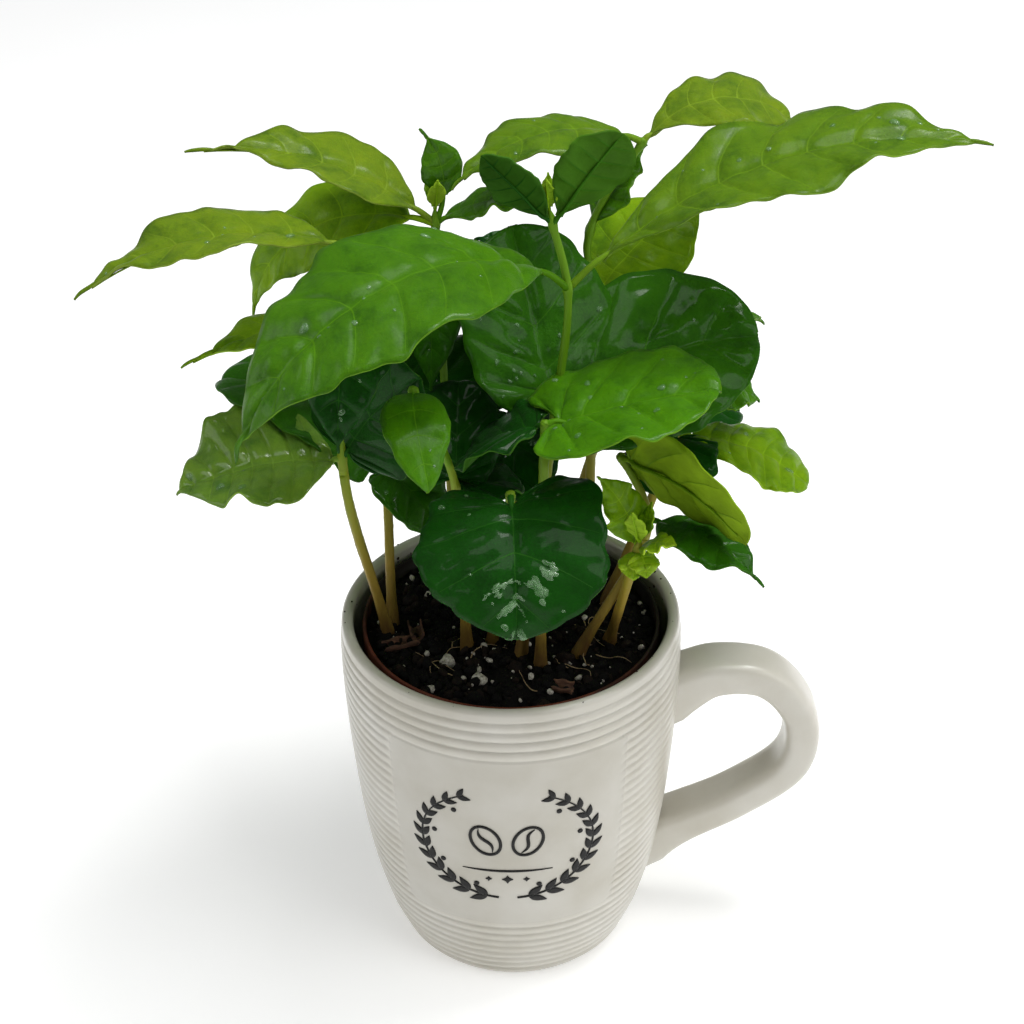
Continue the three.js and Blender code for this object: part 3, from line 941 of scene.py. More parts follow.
# seedlings: foot on the soil, leaf nodes up the stem, and leaves. A leaf is node, blade, heading, rise,
# droop, swing, length, width, tilt in degrees and mm, then its green and what sets it apart
seedlings = [
    {
        "foot": (2.5, -14),
        "nodes": [(12, -4, 166), (15, -4, 199), (11.5, -2, 215)],
        "leaves": [
            (0, "seed", 22, 28, 30, -14, 55, 46, -32, "forest", {"wet": 14}),
            (0, "seed", 112, 52, -14, 5, 46, 40, 0, "forest", {"wet": 24}),
            (1, "adult", 222, 50, 118, -16, 114, 43, 6, "mid",
             {"shape": (1.0, 1.12), "wet": 14, "veins": 9, "drip": 0.45, "ragged": 1.4}),
            (1, "adult", 20, 42, 48, -30, 110, 37, -4, "fresh",
             {"shape": (1.35, 1.2), "wave": 2.0, "wet": 14, "veins": 9, "ragged": 1.5, "fold": 3}),
            (2, "adult", -20, 62, 10, 10, 30, 19, 60, "forest",
             {"shape": (1.1, 0.65), "wave": 0.4, "veins": 6, "drip": 0}),
            (2, "adult", 190, 52, 6, -10, 25, 14, -60, "deep",
             {"shape": (1.0, 0.8), "wave": 0.4, "veins": 6, "drip": 0}),
        ],
    },
    {
        "foot": (21, 18),
        "nodes": [(22, 25, 150), (22, 27, 179), (21.5, 29, 198), (34.5, 31, 221)],
        "leaves": [
            (1, "adult", 46, 40, 25, -20, 43, 32, -10, "lime", {"wave": 0.4, "quilt": 0.5, "ragged": 0.3}),
            (1, "adult", 153, 43, 46, 4, 36, 32, 0, "deep", {"wet": 10}),
            (2, "adult", 30, 65, 30, 0, 26, 14, 0, "mid", {}),
            (3, "adult", 197, 34, 74, 11, 55, 26, -3, "fresh", {"wet": 6, "wave": 0.7, "drip": 0.5}),
            (3, "adult", 20, 51, 101, -20, 46, 26, -6, "pale",
             {"shape": (1.1, 0.7), "petiole": 0.05, "wave": 0.8, "quilt": 0.6, "ragged": 0.4, "drip": 0.6}),
            (0, "seed", 46, 35, 25, 0, 36, 32, 0, "deep", {}),
            (0, "seed", 262, 12, 20, 0, 28, 22, 0, "deep", {}),
        ],
    },
    {
        "foot": (-14, 14),
        "nodes": [(-16, 19, 152), (-17, 22, 204)],
        "leaves": [
            (0, "seed", 122, 20, 30, 0, 38, 38, 0, "deep", {}),
            (0, "adult", -76, 16, 64, 0, 31, 24, 0, "deep", {"wet": 8}),
            (1, "adult", 172, 43, 46, 20, 66, 27, 4, "pale", {"wave": 1.0, "drip": 1.5, "fold": 7}),
            (1, "adult", 172, 20, 104, -10, 68, 25, 0, "lime",
             {"shape": (0.6, 1.2), "wave": 1.0, "twist": 65}),
            (1, "adult", 11, 37, 42, -54, 30, 15, 0, "mid", {}),
            (1, "adult", -97, -56, 20, 0, 42, 16, 0, "forest", {"wet": 4}),
            (1, "adult", 180, 116, 66, 0, 27, 11, 70, "mid",
             {"petiole": 0.3, "wave": 0.3, "drip": 1.2, "veins": 5}),
        ],
    },
    {
        "foot": (-32.5, -2.5),
        "nodes": [(-41.5, -5, 152.5), (-35, 2, 207)],
        "leaves": [
            (1, "adult", 184, 26, 60, 14, 72, 26, -2, "pale",
             {"wave": 1.3, "wet": 6, "drip": 0.6, "fold": 6}),
            (1, "adult", -100, -20, 62, 0, 52, 24, 0, "deep", {"wet": 8}),
            (0, "adult", 190, 14, 36, 6, 43, 40, 7, "sheeny",
             {"shape": (0.8, 0.95), "petiole": 0.05, "drip": 0.2, "wet": 6, "wave": 2.2, "quilt": 0.9,
              "veins": 8, "fold": 9}),
            (0, "seed", -20, 66, 30, 0, 35, 34, -80, "deep", {"lobe": 0.06}),
        ],
    },
    {
        "foot": (-31.5, 1.5),
        "nodes": [(-32, 9, 141), (-37, 11, 186)],
        "leaves": [
            (0, "seed", -42, -5, 62, 7, 22, 21, 0, "forest", {"wet": 8, "wave": 0.4}),
            (0, "seed", 145, 55, 70, 24, 53, 41, -6, "forest", {"wet": 8}),
            (1, "adult", 195, 2, 24, 3, 46, 20, 0, "lime", {"drip": 1.5, "wave": 0.7}),
            (1, "adult", 75, 15, 30, 0, 26, 20, 0, "forest", {}),
        ],
    },
    {
        "foot": (-11.5, -10),
        "nodes": [(-13, -15, 150), (-21.5, -36, 190)],
        "leaves": [
            (1, "adult", -91, 8, 84, 26, 28.5, 15.5, 0, "bright",
             {"shape": (0.5, 0.85), "petiole": 0.03, "drip": 0, "wave": 0.4, "veins": 4, "wet": 3,
              "quilt": 0.3}),
            (0, "seed", 88, 45, 25, 0, 30, 22, 0, "deep", {}),
            (0, "seed", 20, 10, 40, 0, 18, 18, 0, "deep", {}),
        ],
    },
    {
        "foot": (-5, -8),
        "nodes": [(0.5, -29, 156.5)],
        "leaves": [
            (0, "seed", -88, 4, 90, 0, 40, 45, -8, "deep",
             {"lobe": 0.36, "point": 0.9, "widest": 0.32, "scallop": 0.05, "wet": 14, "wave": 0.8,
              "quilt": 0.35,
              "pools": [(0.84, 0.05, 1.8, 3, 9), (0.76, -0.3, 1.8, 3, 10), (0.76, 0.34, 1.6, 3, 8),
                        (0.69, -0.5, 1.2, 2, 5), (0.94, -0.05, 0.8, 6, 8)]}),
        ],
    },
    {
        "foot": (7.5, -18),
        "nodes": [(9, -22, 172)],
        "leaves": [
            (0, "seed", 2, 20, 12, -8, 43, 43, 0, "bright", {"lobe": 0.3, "wet": 16, "wave": 1.0}),
            (0, "seed", 160, -12, 45, 0, 27, 26, 0, "deep", {"wet": 6}),
        ],
    },
    {
        "foot": (17.5, -13.5),
        "nodes": [(35, -12, 137.5), (28, -10, 155)],
        "leaves": [
            (0, "adult", -46, 24, 56, 4, 39, 19, 0, "forest", {"wave": 1.2, "drip": 0.8}),
            (1, "seed", -40, 10, 48, 0, 41, 25, 72, "olive", {"wave": 1.0, "point": 0.6}),
        ],
    },
    {
        "foot": (26, -8),
        "nodes": [(31.5, -26, 138)],
        "leaves": [
            (0, "adult", 178, 85, 40, 0, 24, 12, 50, "lime", {"wave": 1.4, "veins": 5}),
            (0, "adult", -115, -24, 50, 30, 8, 8, 0, "bud", {"wave": 1.2, "veins": 4, "drip": 0}),
            (0, "adult", -58, -8, 60, -30, 8, 8, 0, "bud", {"wave": 1.2, "veins": 4, "drip": 0}),
            (0, "adult", -30, 50, 50, 0, 12, 9, 0, "bud", {"wave": 0.8, "veins": 4, "drip": 0}),
        ],
    },
    {
        "foot": (26, 10),
        "nodes": [(43.5, 13, 147), (46, 17, 162)],
        "leaves": [
            (0, "adult", -6, 8, 52, -12, 38, 28, 4, "lime",
             {"shape": (0.7, 0.55), "wave": 1.0, "wet": 4, "drip": 0}),
            (1, "adult", 4, 2, 50, 0, 22, 24, 0, "bright", {}),
            (0, "seed", -100, 8, 50, 0, 22, 24, 0, "deep", {}),
        ],
    },
    {
        "foot": (2, 21),
        "nodes": [(2, 28, 146), (2, 33, 168)],
        "leaves": [
            (0, "seed", 68, 5, 40, 0, 40, 34, 0, "forest", {"wet": 6}),
            (0, "seed", 125, 15, 40, 0, 42, 36, 0, "deep", {"wet": 8}),
            (0, "seed", -92, 0, 40, 0, 30, 26, 0, "deep", {"wet": 6}),
            (1, "adult", 104, 22, 60, 0, 60, 30, 0, "mid", {"wet": 6}),
            (1, "adult", 154, 28, 66, 0, 62, 30, 0, "fresh", {}),
        ],
    },
    {
        "foot": (13, 28),
        "nodes": [(27, 42, 138), (33, 50, 155)],
        "leaves": [
            (1, "adult", 36, 18, 62, 0, 54, 26, 0, "mid", {}),
            (1, "adult", 98, 30, 70, 0, 48, 26, 0, "forest", {"wet": 6}),
            (0, "seed", 8, 8, 30, 0, 38, 34, 0, "deep", {}),
            (0, "seed", 100, -8, 30, 0, 36, 32, 0, "bright", {"wet": 6}),
        ],
    },
]

leafWords = ("node", "blade", "heading", "rise", "droop", "swing", "length", "width", "tilt", "green")
youngLeaf = {
    "length": 11,
    "width": 5,
    "sizes": (0.75, 0.5),  # least, and how much more
    "rise": 66,
    "stray": 40,
    "turns": (90, 270),
    "extra": {"wave": 0.4, "veins": 4},
    "seed": 11,
}


def readLeaf(row):
    # a row of the table as named values
    return {**dict(zip(leafWords, row)), **row[-1]}


def leafDice(state):
    # the plant's own dice, a plain multiplying generator
    while True:
        state = state * 16807 % 2147483647
        yield state / 2147483647


def growYoung(last, dice):
    # a pair of young leaves across the last pair of full ones
    if last["blade"] != "adult":
        return []
    least, more = youngLeaf["sizes"]
    pair = []
    for turn in youngLeaf["turns"]:
        aim = last["heading"] + turn + youngLeaf["stray"] * (next(dice) - 0.5)
        size = least + more * next(dice)
        long = youngLeaf["length"] * size
        wide = youngLeaf["width"] * size
        row = (-1, "adult", aim, youngLeaf["rise"], 0, 0, long, wide, 0, "lime", youngLeaf["extra"])
        pair.append(readLeaf(row))
    return pair


stem = {
    "start": 97.3,
    "foot": 1.3,
    "top": 1.05,
    "shootTop": 0.85,
    "flare": 0.55,
    "flareShare": 12,
    "tip": 4.0,
    "bareTip": 1.2,  # where no young leaves follow
    "tipRound": 0.97,
    "cutBelow": 3.0,
    "cutFade": 0.15,
    "swell": 0.3,  # at the leaf nodes
    "swellReach": 1.7,
    "ridges": (3, 5),
    "ridge": 0.07,
    "warts": 0.02,
    "sunk": 3.0,
    "sunkWide": 1.1,
    "barkHeights": (97, 185),  # from brown to green
    "mottle": 0.3,
    "barks": [(0.0, (92, 68, 32)), (0.2, (147, 124, 46)), (0.5, (136, 140, 38)), (0.75, (102, 146, 22))],
    "perSpan": 40,
    "sides": 14,
    "seed": 21,
}


def stemLine(seedling):
    start = (*seedling["foot"], stem["start"])
    knots = [start, *seedling["nodes"]]
    run = np.subtract(knots[-1], knots[-2])
    long = stem["tip"] if readLeaf(seedling["leaves"][-1])["blade"] == "adult" else stem["bareTip"]
    tip = tuple(np.asarray(knots[-1]) + run / np.linalg.norm(run) * long)
    return smoothLine([*knots, tip], stem["perSpan"]), tip


def stemFinish():
    finish, tree, shader = newFinish("stemBark", Specular_IOR_Level=0.2)
    place = tree.nodes.new("ShaderNodeTexCoord")
    split = tree.nodes.new("ShaderNodeSeparateXYZ")
    height = tree.nodes.new("ShaderNodeMapRange")
    height.inputs["From Min"].default_value = stem["barkHeights"][0] * mm
    height.inputs["From Max"].default_value = stem["barkHeights"][1] * mm
    mottled = tree.nodes.new("ShaderNodeMath")
    mottled.operation = "MULTIPLY_ADD"
    mottled.inputs[1].default_value = stem["mottle"]
    summed = tree.nodes.new("ShaderNodeMath")
    summed.operation = "SUBTRACT"
    summed.inputs[1].default_value = stem["mottle"] / 2
    tree.links.new(place.outputs["Object"], split.inputs["Vector"])
    tree.links.new(split.outputs["Z"], height.inputs["Value"])
    tree.links.new(grain(tree, 3.0, 6, (1, 1, 0.3)), mottled.inputs[0])
    tree.links.new(height.outputs["Result"], mottled.inputs[2])
    tree.links.new(mottled.outputs["Value"], summed.inputs[0])
    tinted(tree, shader, summed.outputs["Value"], stem["barks"])
    streak = grain(tree, 0.9, 5, (1, 1, 0.15))
    varied(tree, shader, "Roughness", streak, 0.42, 0.62)
    bumped(tree, shader, streak, 0.18)
    return finish


def stemRelief(count, dice):
    # fine ridges along the bark and a few warts
    turns = ringTurns(stem["sides"])
    along = np.linspace(0, 1, count)[:, None]
    relief = np.ones((count, stem["sides"]))
    for ridges in stem["ridges"]:
        phase = dice.uniform(0, 6)
        wander = 3 * np.sin(7 * along + dice.uniform(0, 6))
        relief += stem["ridge"] * np.sin(ridges * turns + phase + wander)
    return relief + dice.normal(size=relief.shape) * stem["warts"]


def addStems(stemBag, shootBag):
    dice = np.random.default_rng(stem["seed"])
    for seedling in seedlings:
        line, tip = stemLine(seedling)
        seedling["tip"] = tip
        spans = len(seedling["nodes"]) + 1
        length = np.linalg.norm(np.diff(line, axis=0), axis=1).sum()
        cut = round((1 / spans - stem["cutBelow"] / length) * (len(line) - 1))
        shares = np.linspace(0, 1, len(line))
        low = stem["top"] + (stem["foot"] - stem["top"]) * (1 - shares)
        low = low + stem["flare"] * np.maximum(0, 1 - shares * stem["flareShare"]) ** 2
        high = stem["top"] + (stem["shootTop"] - stem["top"]) * shares
        for node in seedling["nodes"]:
            away = np.linalg.norm(line - np.asarray(node), axis=1)
            high = high + stem["swell"] * np.exp(-(away / stem["swellReach"]) ** 2)
        relief = stemRelief(len(line), dice)
        rooted = np.concatenate([[line[0] - stem["sunk"] * upward], line[:cut + 1]])
        rootedWide = np.concatenate([low[:1] * stem["sunkWide"], low[:cut + 1]])
        rootedRelief = np.concatenate([relief[:1], relief[:cut + 1]])
        addTube(stemBag, rooted, rootedWide, stem["sides"], 0, rootedRelief)
        blend = np.maximum(high, low * (1 - ease(shares, shares[cut], shares[cut] + stem["cutFade"])))
        tipShare = np.clip((shares - 1) * spans + 1, 0, stem["tipRound"])
        blend = blend * np.sqrt(1 - tipShare ** 2)
        addTube(shootBag, line[cut:], blend[cut:], stem["sides"], 0, relief[cut:])


# leaves
leafForm = {
    "seed": {
        "petiole": 0.08, "fold": 3.0, "veins": 6, "lobe": 0.17, "widest": 0.42, "notch": 0.36,
        "blunt": 0.86, "point": 0.15, "sweep": 1.08,
    },
    "adult": {
        "petiole": 0.1, "fold": -4.0, "veins": 7, "rise": 0.85, "fall": 1.15, "slant": 0.13,
        "drip": 0.3, "dripShare": 0.12, "tipHalf": 0.2, "neckHalf": 0.75, "sweep": 1.5,
    },
    "thick": 0.42,
    "quilt": 0.034,  # bulge between veins, as a share of the width
    "groove": 0.0075,  # along the side veins, as a share of the width
    "grooveWide": 0.1,  # as a share of the way between two veins
    "sink": 0.025,  # how deep the midrib lies, as a share of the width
    "sinkWide": 0.05,
    "waver": [(0.035, 0.5), (0.02, 1.3)],  # margin: strength, and waves to each vein
    "scallops": 12,
    "beats": (1.9, 2.8),  # waves up and down along the margin
    "crinkle": 0.085,  # fine unevenness of the blade
    "crinkles": 7,
    "crinklePace": (0.5, 1.3),
    "rib": 0.4,
    "sideVein": (0.26, 0.07),  # half widths from the midrib to the margin
    "sideReach": 0.93,
    "veinRise": 0.09,
    "underVeins": 1.3,  # how much coarser below
    "petioleRound": 0.85,
    "petioleSides": 8,
    "ribSteps": 160,
    "rowsPerVein": 12,
    "small": 15,  # a shorter leaf has fewer rows
    "rowsIfSmall": 5,
    "columnEvery": 1.7,  # mm
    "columns": (5, 13),
    "seeds": 1000,  # between one seedling's dice and the next one's
}
greens = {
    # upper side, under side, wet sheen, how soft the sheen is
    # the deep green is partly the leaves' own dark green and partly painted shade on the leaves inside the
    # plant
    "deep": ((13, 66, 3), (58, 104, 26), 0.15, 0.09),
    "forest": ((43, 97, 3), (64, 108, 22), 0.2, 0.12),
    "mid": ((64, 114, 2), (90, 132, 28), 0.3, 0.24),
    "bright": ((67, 122, 1), (96, 142, 28), 0.24, 0.22),
    "fresh": ((86, 122, 10), (112, 144, 44), 0.3, 0.24),
    # a light grey-green with painted sheen in its colour, besides its real gloss
    "sheeny": ((104, 140, 44), (118, 150, 56), 0.5, 0.12),
    "pale": ((102, 130, 20), (126, 150, 52), 0.2, 0.2),
    "lime": ((112, 152, 6), (146, 182, 42), 0.2, 0.2),
    "olive": ((94, 130, 12), (128, 160, 28), 0.24, 0.2),
    "bud": ((146, 180, 26), (164, 196, 48), 0.18, 0.2),
}
greenNames = list(greens)
leafSkin = {
    "cooler": (0.74, 0.82, 0.9),  # of the upper side's red, green and blue
    "warmer": (1.12, 1.07, 1.0),
    "glow": (0.6, 1.0, 0.2),  # light through the blade
    "glowDeep": 1.2,  # mm
    "under": (0.82, 1.15),  # darkest and lightest
    "vein": (0.95, 1.25),
    "veinUpper": 0.62,  # how much of the upper side's green is in a vein
}


def upperFinish(name, upper, sheen, soft):
    finish, tree, shader = newFinish(
        "leaf_" + name, Specular_IOR_Level=0.06, Coat_Weight=sheen, Coat_Roughness=soft,
        Sheen_Weight=0.02, Sheen_Roughness=0.45, Subsurface_Weight=0.14,
        Subsurface_Radius=leafSkin["glow"], Subsurface_Scale=leafSkin["glowDeep"] * mm)
    cooler = [channel * share for channel, share in zip(upper, leafSkin["cooler"])]
    warmer = [channel * share for channel, share in zip(upper, leafSkin["warmer"])]
    cloud = grain(tree, 10, 10, rough=0.72)
    tinted(tree, shader, cloud, [(0.34, cooler), (0.5, upper), (0.66, warmer)])
    cells = grain(tree, 2.0, 8, rough=0.7)
    varied(tree, shader, "Roughness", cells, 0.36, 0.54)
    bumped(tree, shader, cells, 0.5)
    return finish


def underFinish(name, under):
    finish, tree, shader = newFinish("under_" + name, Specular_IOR_Level=0.06)
    cloud = grain(tree, 7, 5)
    dark, light = leafSkin["under"]
    tinted(tree, shader, cloud, [(0.3, (*under, dark)), (0.7, (*under, light))])
    varied(tree, shader, "Roughness", cloud, 0.5, 0.68)
    bumped(tree, shader, grain(tree, 1.6, 5), 0.2)
    return finish


def veinFinish(name, upper, under):
    finish, tree, shader = newFinish("vein_" + name, Roughness=0.5, Specular_IOR_Level=0.1)
    share = leafSkin["veinUpper"]
    between = [share * top + (1 - share) * low for top, low in zip(upper, under)]
    dark, light = leafSkin["vein"]
    tinted(tree, shader, grain(tree, 5), [(0.3, (*between, dark)), (0.7, (*between, light))])
    return finish


def leafFinishes():
    # upper and under side of each green in turn
    finishes = []
    for name, (upper, under, sheen, soft) in greens.items():
        finishes.append(upperFinish(name, upper, sheen, soft))
        finishes.append(underFinish(name, under))
    return finishes


def midribFrame(base, leaf):
    # the midrib's points and the blade's directions along it
    shares = np.linspace(0, 1, leafForm["ribSteps"] + 1)
    turn = np.radians(leaf["heading"] + leaf["swing"] * shares)
    climb = np.radians(leaf["rise"] - leaf["droop"] * shares)
    flat = np.cos(climb)
    tangents = np.stack([flat * np.cos(turn), flat * np.sin(turn), np.sin(climb)], axis=-1)
    strides = (tangents[1:] + tangents[:-1]) / 2 * leaf["length"] / leafForm["ribSteps"]
    points = np.asarray(base, float) + np.concatenate([[np.zeros(3)], np.cumsum(strides, axis=0)])
    level = np.stack([np.sin(turn), -np.cos(turn), np.zeros_like(turn)], axis=-1)
    roll = -np.radians(leaf["tilt"] + leaf.get("twist", 0) * shares)[:, None]
    sides = level * np.cos(roll) + np.cross(tangents, level) * np.sin(roll)
    return {"share": shares, "point": points, "tangent": tangents, "side": sides,
            "face": np.cross(sides, tangents), "length": leaf["length"]}


def alongMidrib(rib, shares):
    inside = np.clip(shares, 0, 1)

    def read(name):
        return np.stack([np.interp(inside, rib["share"], rib[name][:, axis]) for axis in range(3)], axis=-1)

    tangent = unit(read("tangent"))
    beyond = ((shares - inside) * rib["length"])[..., None]
    return read("point") + tangent * beyond, unit(read("side")), unit(read("face"))


def adultBlade(leaf, toTip, reach, petiole):
    # a pointed blade with a thin drip tip: shares along the midrib, and half its width
    form = leafForm["adult"]
    blown = 1 - petiole
    start = petiole + blown * toTip
    lean = form["slant"] * np.sin(math.pi * toTip) ** 0.8 * (1 - 0.3 * toTip)
    end = np.minimum(start + lean * blown, 1)
    rise, fall = leaf.get("shape", (form["rise"], form["fall"]))
    run = (end - petiole) / blown
    body = np.clip(run / (1 - form["dripShare"] * leaf.get("drip", form["drip"])), 0, 1)
    widest = rise / (rise + fall)
    swell = (body / widest) ** rise * ((1 - body) / (1 - widest)) ** fall
    thin = form["tipHalf"] + form["neckHalf"] * (1 - np.clip(run, 0, 1))
    return start + (end - start) * reach ** form["sweep"], np.maximum(swell * leaf["width"] / 2, thin)


def seedBlade(leaf, toTip, reach, petiole):
    # a round blade with lobes beside its stalk
    form = leafForm["seed"]
    blown = 1 - petiole
    lobe = leaf.get("lobe", form["lobe"])
    widest = leaf.get("widest", form["widest"])
    turn = math.pi * (0.05 + 0.935 * toTip)
    start = petiole + blown * ease(toTip, 0.3, 1.25) / ease(1, 0.3, 1.25)
    reachBack = np.where(turn < math.pi / 2, widest + lobe, 1 - widest)
    notch = (lobe + 0.02) * np.exp(-(turn / form["notch"]) ** 2)
    edge = petiole + blown * (widest - reachBack * np.cos(turn) + notch)
    blunt = form["blunt"] + leaf.get("point", form["point"]) * ease(turn, math.pi / 2, math.pi)
    return start + (edge - start) * reach ** form["sweep"], np.sin(turn) ** blunt * leaf["width"] / 2


def bladeGrid(leaf, dice):
    # shares along the midrib and mm across it, row by row along the side veins:
    # toTip runs from 0 at the stalk to 1, toSide from -1 at one margin to 1 at the other
    form = leafForm[leaf["blade"]]
    veins = leaf.get("veins", form["veins"])
    perVein = leafForm["rowsPerVein"] if leaf["length"] > leafForm["small"] else leafForm["rowsIfSmall"]
    columns = int(np.clip(leaf["width"] / 2 / leafForm["columnEvery"], *leafForm["columns"]))
    toTip = np.linspace(0, 1, veins * perVein + 1)[:, None]
    toSide = np.linspace(-1, 1, 2 * columns + 1)[None, :]
    petiole = leaf.get("petiole", form["petiole"])
    ragged = leaf.get("ragged", 1.0) * np.sin(math.pi * toTip)
    waver = 1
    for order, (strength, pace) in enumerate(leafForm["waver"], 1):
        turn = 2 * math.pi * (veins * pace * toTip + dice.uniform())
        waver = waver + strength * ragged * np.sin(turn + order * np.sign(toSide))
    scallop = np.abs(np.sin(leafForm["scallops"] * math.pi * toTip + np.sign(toSide)))
    waver = waver + leaf.get("scallop", 0) * scallop * ease(toTip, 0.35, 0.7)
    outline = adultBlade if leaf["blade"] == "adult" else seedBlade
    along, half = outline(leaf, toTip, np.abs(toSide), petiole)
    return {"toTip": toTip, "toSide": toSide, "along": along, "across": half * waver * toSide,
            "veins": veins, "perVein": perVein, "columns": columns, "petiole": petiole}


def shapeLeaf(base, leaf, dice):
    # the blade's upper and lower skins, folded, quilted and waved
    width = leaf["width"]
    rib = midribFrame(base, leaf)
    plan = bladeGrid(leaf, dice)
    toTip = plan["toTip"]
    toSide = plan["toSide"]
    across = plan["across"]
    reach = np.abs(toSide)
    points, sides, faces = alongMidrib(rib, plan["along"])
    fold = math.radians(leaf.get("fold", leafForm[leaf["blade"]]["fold"]))
    lift = np.abs(across) * math.sin(fold)
    bulge = np.abs(np.sin(math.pi * toTip * plan["veins"])) ** 0.8 * reach ** 0.5 * (1 - reach ** 2.4)
    lift = lift + leaf.get("quilt", 1.0) * leafForm["quilt"] * width * bulge
    aside = np.abs((toTip * plan["veins"] + 0.5) % 1 - 0.5)
    groove = np.exp(-(aside / leafForm["grooveWide"]) ** 2) * reach ** 0.3 * (1 - reach ** 4)
    lift = lift - leafForm["groove"] * width * groove
    beat = dice.uniform(*leafForm["beats"])
    for side in (-1, 1):
        ripple = np.sin(2 * math.pi * (beat * toTip + dice.uniform()))
        ripple = ripple + 0.5 * np.sin(2 * math.pi * (beat * 2.1 * toTip + dice.uniform()))
        onSide = (toSide * side > 0) * reach ** 2.2 * ease(toTip, 0, 0.3) * (1 - ease(toTip, 0.6, 1.0))
        lift = lift + leaf.get("wave", 1.0) * ripple * onSide
    lift = lift - leafForm["sink"] * width * np.exp(-(across / (leafForm["sinkWide"] * width)) ** 2)
    run = plan["along"] * leaf["length"]
    for crinkle in range(leafForm["crinkles"]):
        pace = dice.uniform(*leafForm["crinklePace"])
        turn = dice.uniform(0, math.pi)
        uneven = np.sin(pace * (run * math.cos(turn) + across * math.sin(turn)) + dice.uniform(0, 6))
        lift = lift + leafForm["crinkle"] * min(1.0, width / 30) * uneven
    grid = points + sides * (across * math.cos(fold))[..., None] + faces * lift[..., None]
    normals = unit(np.cross(np.gradient(grid, axis=1), np.gradient(grid, axis=0)))
    normals = np.where((normals * faces).sum(-1, keepdims=True) < 0, -normals, normals)
    half = leafForm["thick"] / 2
    return rib, plan, grid + normals * half, grid - normals * half, normals


def addRibbon(bag, line, normals, half, finish):
    # a slightly raised vein on the skin
    across = unit(np.cross(normals, np.gradient(line, axis=0))) * np.asarray(half)[:, None]
    rows = np.stack([line - across, line + normals * leafForm["veinRise"], line + across], axis=1)
    addGrid(bag, rows, finish, flip=True)


def addVeins(bag, plan, skin, normals, length, finish, coarse):
    # the midrib and the side veins of one side
    middle = plan["columns"]
    size = min(1.0, length / 60)
    taper = np.linspace(1, 0.3, len(skin))
    ribHalf = leafForm["rib"] * (0.45 + 0.55 * size) * taper * coarse
    addRibbon(bag, skin[:, middle], normals[:, middle], ribHalf, finish)
    stop = max(3, int(plan["columns"] * leafForm["sideReach"]))
    veinHalf = np.linspace(*leafForm["sideVein"], stop + 1) * (0.5 + 0.5 * size) * coarse
    for vein in range(1, plan["veins"]):
        row = vein * plan["perVein"]
        for side in (-1, 1):
            columns = middle + side * np.arange(0, stop + 1)
            addRibbon(bag, skin[row, columns], normals[row, columns], veinHalf, finish)


def addPetiole(bag, rib, petiole, finish, leaf):
    # the leaf's stalk, which runs on as the rib under the blade
    stalk = np.linspace(0, petiole * 1.5, 8)
    under = np.linspace(petiole * 1.5 + 0.05, 0.93, 16)
    shares = np.concatenate([stalk, under])
    points, sides, faces = alongMidrib(rib, shares)
    thick = leafForm["petioleRound"] * min(1.0, 0.35 + leaf["length"] / 60)
    radii = thick * np.interp(shares, [0, 0.7 * petiole, 1.6 * petiole, 1], [1.15, 0.95, 0.62, 0.2])
    tucked = leafForm["sink"] * leaf["width"] + 0.8 - 0.47 * ease(shares, 0.2, 0.5)
    drop = 0.12 + tucked * ease(shares, 0.7 * petiole, 1.8 * petiole)
    addTube(bag, points - faces * drop[:, None], radii, leafForm["petioleSides"], finish)


# water on the leaves
drops = {
    "size": (0.35, 1.25),
    "flat": 0.5,
    "along": (0.12, 0.9),  # where beads lie, as shares of the blade
    "level": 0.15,  # none on a steeper face
    "rings": 5,
    "sides": 12,
}


def addDrops(bag, count, skin, normals, dice):
    # water beads on the leaf's upper side
    rows, columns = skin.shape[:2]
    first, last = drops["along"]
    rings = np.linspace(0, math.pi / 2, drops["rings"] + 1)[:-1]
    turns = ringTurns(drops["sides"])
    for bead in range(count):
        row = dice.integers(int(rows * first), int(rows * last))
        column = dice.integers(2, columns - 2)
        spot = skin[row, column]
        normal = normals[row, column]
        size = pickSize(dice, drops["size"], 2)
        if normal[2] < drops["level"]:
            continue
        side = unit(np.cross(normal, np.array([0.3, 1.0, 0.2])))
        front = np.cross(normal, side)
        uneven = 1 + 0.18 * np.sin(2 * turns + dice.uniform(0, 6))
        uneven = uneven + 0.1 * np.sin(3 * turns + dice.uniform(0, 6))
        flat = np.outer(np.cos(turns) * uneven, side) + np.outer(np.sin(turns) * uneven, front)
        layers = []
        for ring in rings:
            layers.append(spot + size * (math.cos(ring) * flat + drops["flat"] * math.sin(ring) * normal))
        start = addGrid(bag, np.array(layers), 0, around=True)
        lastRing = start + (len(rings) - 1) * drops["sides"]
        addFan(bag, lastRing, drops["sides"], spot + size * drops["flat"] * normal, 0)


pools = {
    "stray": 0.55,
    "size": (0.35, 1.5),
    "stretch": (0.7, 1.3),  # along and across the blade
    "lobes": (2, 3, 5),
    "ragged": 0.5,
    "deep": 0.1,
    "deeper": 0.01,  # each bit, so that no two lie at one height
    "edge": 0.04,
    "rings": 4,
    "sides": 18,
}


def onSkin(grid, row, column):
    # a point between the grid's own points
    row = np.clip(row, 0, grid.shape[0] - 1.001)
    column = np.clip(column, 0, grid.shape[1] - 1.001)
    low, left = row.astype(int), column.astype(int)
    up, over = (row - low)[..., None], (column - left)[..., None]
    near = grid[low, left] * (1 - over) + grid[low, left + 1] * over
    far = grid[low + 1, left] * (1 - over) + grid[low + 1, left + 1] * over
    return near * (1 - up) + far * up


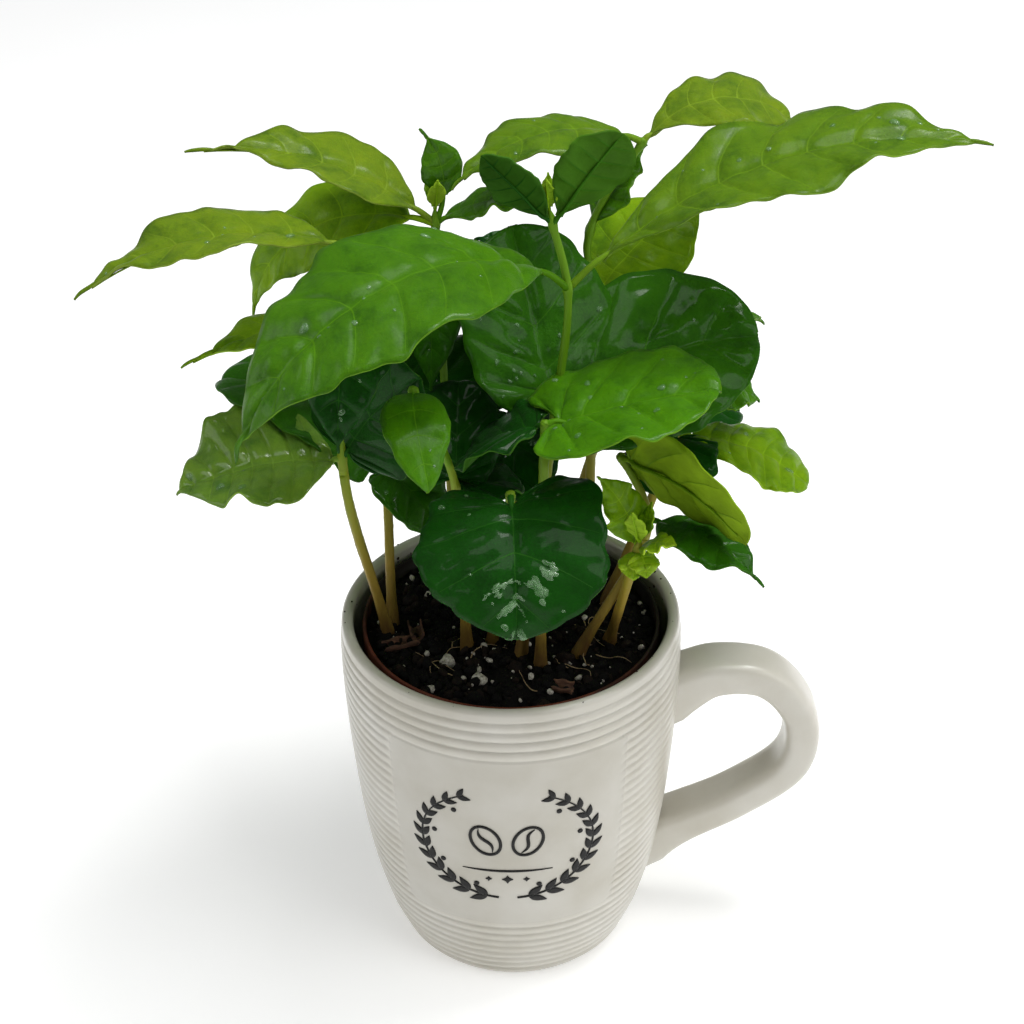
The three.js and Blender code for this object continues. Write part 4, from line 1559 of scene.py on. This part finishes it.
def addPools(bag, spots, skin, normals, dice):
    # broken sheets of water: share along and across, spread along and across, number of bits
    rows, columns = skin.shape[:2]
    rings = np.linspace(0.04, 1, pools["rings"])[:, None]
    turns = ringTurns(pools["sides"])
    deep = pools["deep"]
    for along, across, long, wide, bits in spots:
        centre = np.array([along * (rows - 1), (across + 1) / 2 * (columns - 1)])
        row, column = centre.round().astype(int)
        stepAlong = np.linalg.norm(skin[row + 1, column] - skin[row, column])
        stepAcross = np.linalg.norm(skin[row, column + 1] - skin[row, column])
        for bit in range(bits):
            shift = dice.normal(size=2) * pools["stray"] * np.array([long, wide])
            size = dice.uniform(*pools["size"]) * np.array(pools["stretch"])
            ragged = np.ones(pools["sides"])
            for lobes in pools["lobes"]:
                ragged = ragged + pools["ragged"] / lobes ** 0.7 * np.sin(lobes * turns + dice.uniform(0, 6))
            onRow = centre[0] + (shift[0] + rings * ragged * np.cos(turns) * size[0]) / stepAlong
            onColumn = centre[1] + (shift[1] + rings * ragged * np.sin(turns) * size[1]) / stepAcross
            deep += pools["deeper"]
            rise = (deep - (deep - pools["edge"]) * rings ** 3)[..., None]
            film = onSkin(skin, onRow, onColumn) + onSkin(normals, onRow, onColumn) * rise
            addGrid(bag, film[::-1], 0, around=True)


def waterWithPaintedHighlight():
    finish, tree, shader = newFinish("water", Alpha=0.36, Specular_IOR_Level=0.8)
    varied(tree, shader, "Roughness", grain(tree, 2.0), 0.12, 0.18)
    # the pale greens of the water are partly painted highlight, besides its real reflection
    tinted(tree, shader, grain(tree, 3.0), [(0.3, (84, 134, 76)), (0.7, (150, 188, 142))])
    return finish


def growPlant():
    young = leafDice(youngLeaf["seed"])
    stemBag, shootBag, veinBag, dropBag = newBag(), newBag(), newBag(), newBag()
    addStems(stemBag, shootBag)
    finishes = leafFinishes()
    for number, seedling in enumerate(seedlings, 1):
        bag = newBag()
        leaves = [readLeaf(row) for row in seedling["leaves"]]
        leaves += growYoung(leaves[-1], young)
        for order, leaf in enumerate(leaves):
            dice = np.random.default_rng(leafForm["seeds"] * number + order)
            base = seedling["tip"] if leaf["node"] < 0 else seedling["nodes"][leaf["node"]]
            green = greenNames.index(leaf["green"])
            rib, plan, upper, lower, normals = shapeLeaf(base, leaf, dice)
            addShell(bag, upper, lower, 2 * green, 2 * green + 1)
            addVeins(veinBag, plan, upper, normals, leaf["length"], green, 1.0)
            addVeins(veinBag, plan, lower, -normals, leaf["length"], green, leafForm["underVeins"])
            addPetiole(veinBag, rib, plan["petiole"], green, leaf)
            addDrops(dropBag, leaf.get("wet", 0), upper, normals, dice)
            addPools(dropBag, leaf.get("pools", []), upper, normals, dice)
        makePiece("leaves_%d" % number, bag, finishes, ["foliage_%d" % number])
    bark = stemFinish()
    stemNodes = ["stem_%d" % number for number in range(1, len(seedlings) + 1)]
    makePiece("stems", stemBag, [bark], stemNodes)
    makePiece("shoots", shootBag, [bark])
    veinGreens = [veinFinish(name, upper, under) for name, (upper, under, sheen, soft) in greens.items()]
    makePiece("veins", veinBag, veinGreens)
    makePiece("water_drops", dropBag, [waterWithPaintedHighlight()])


growPlant()
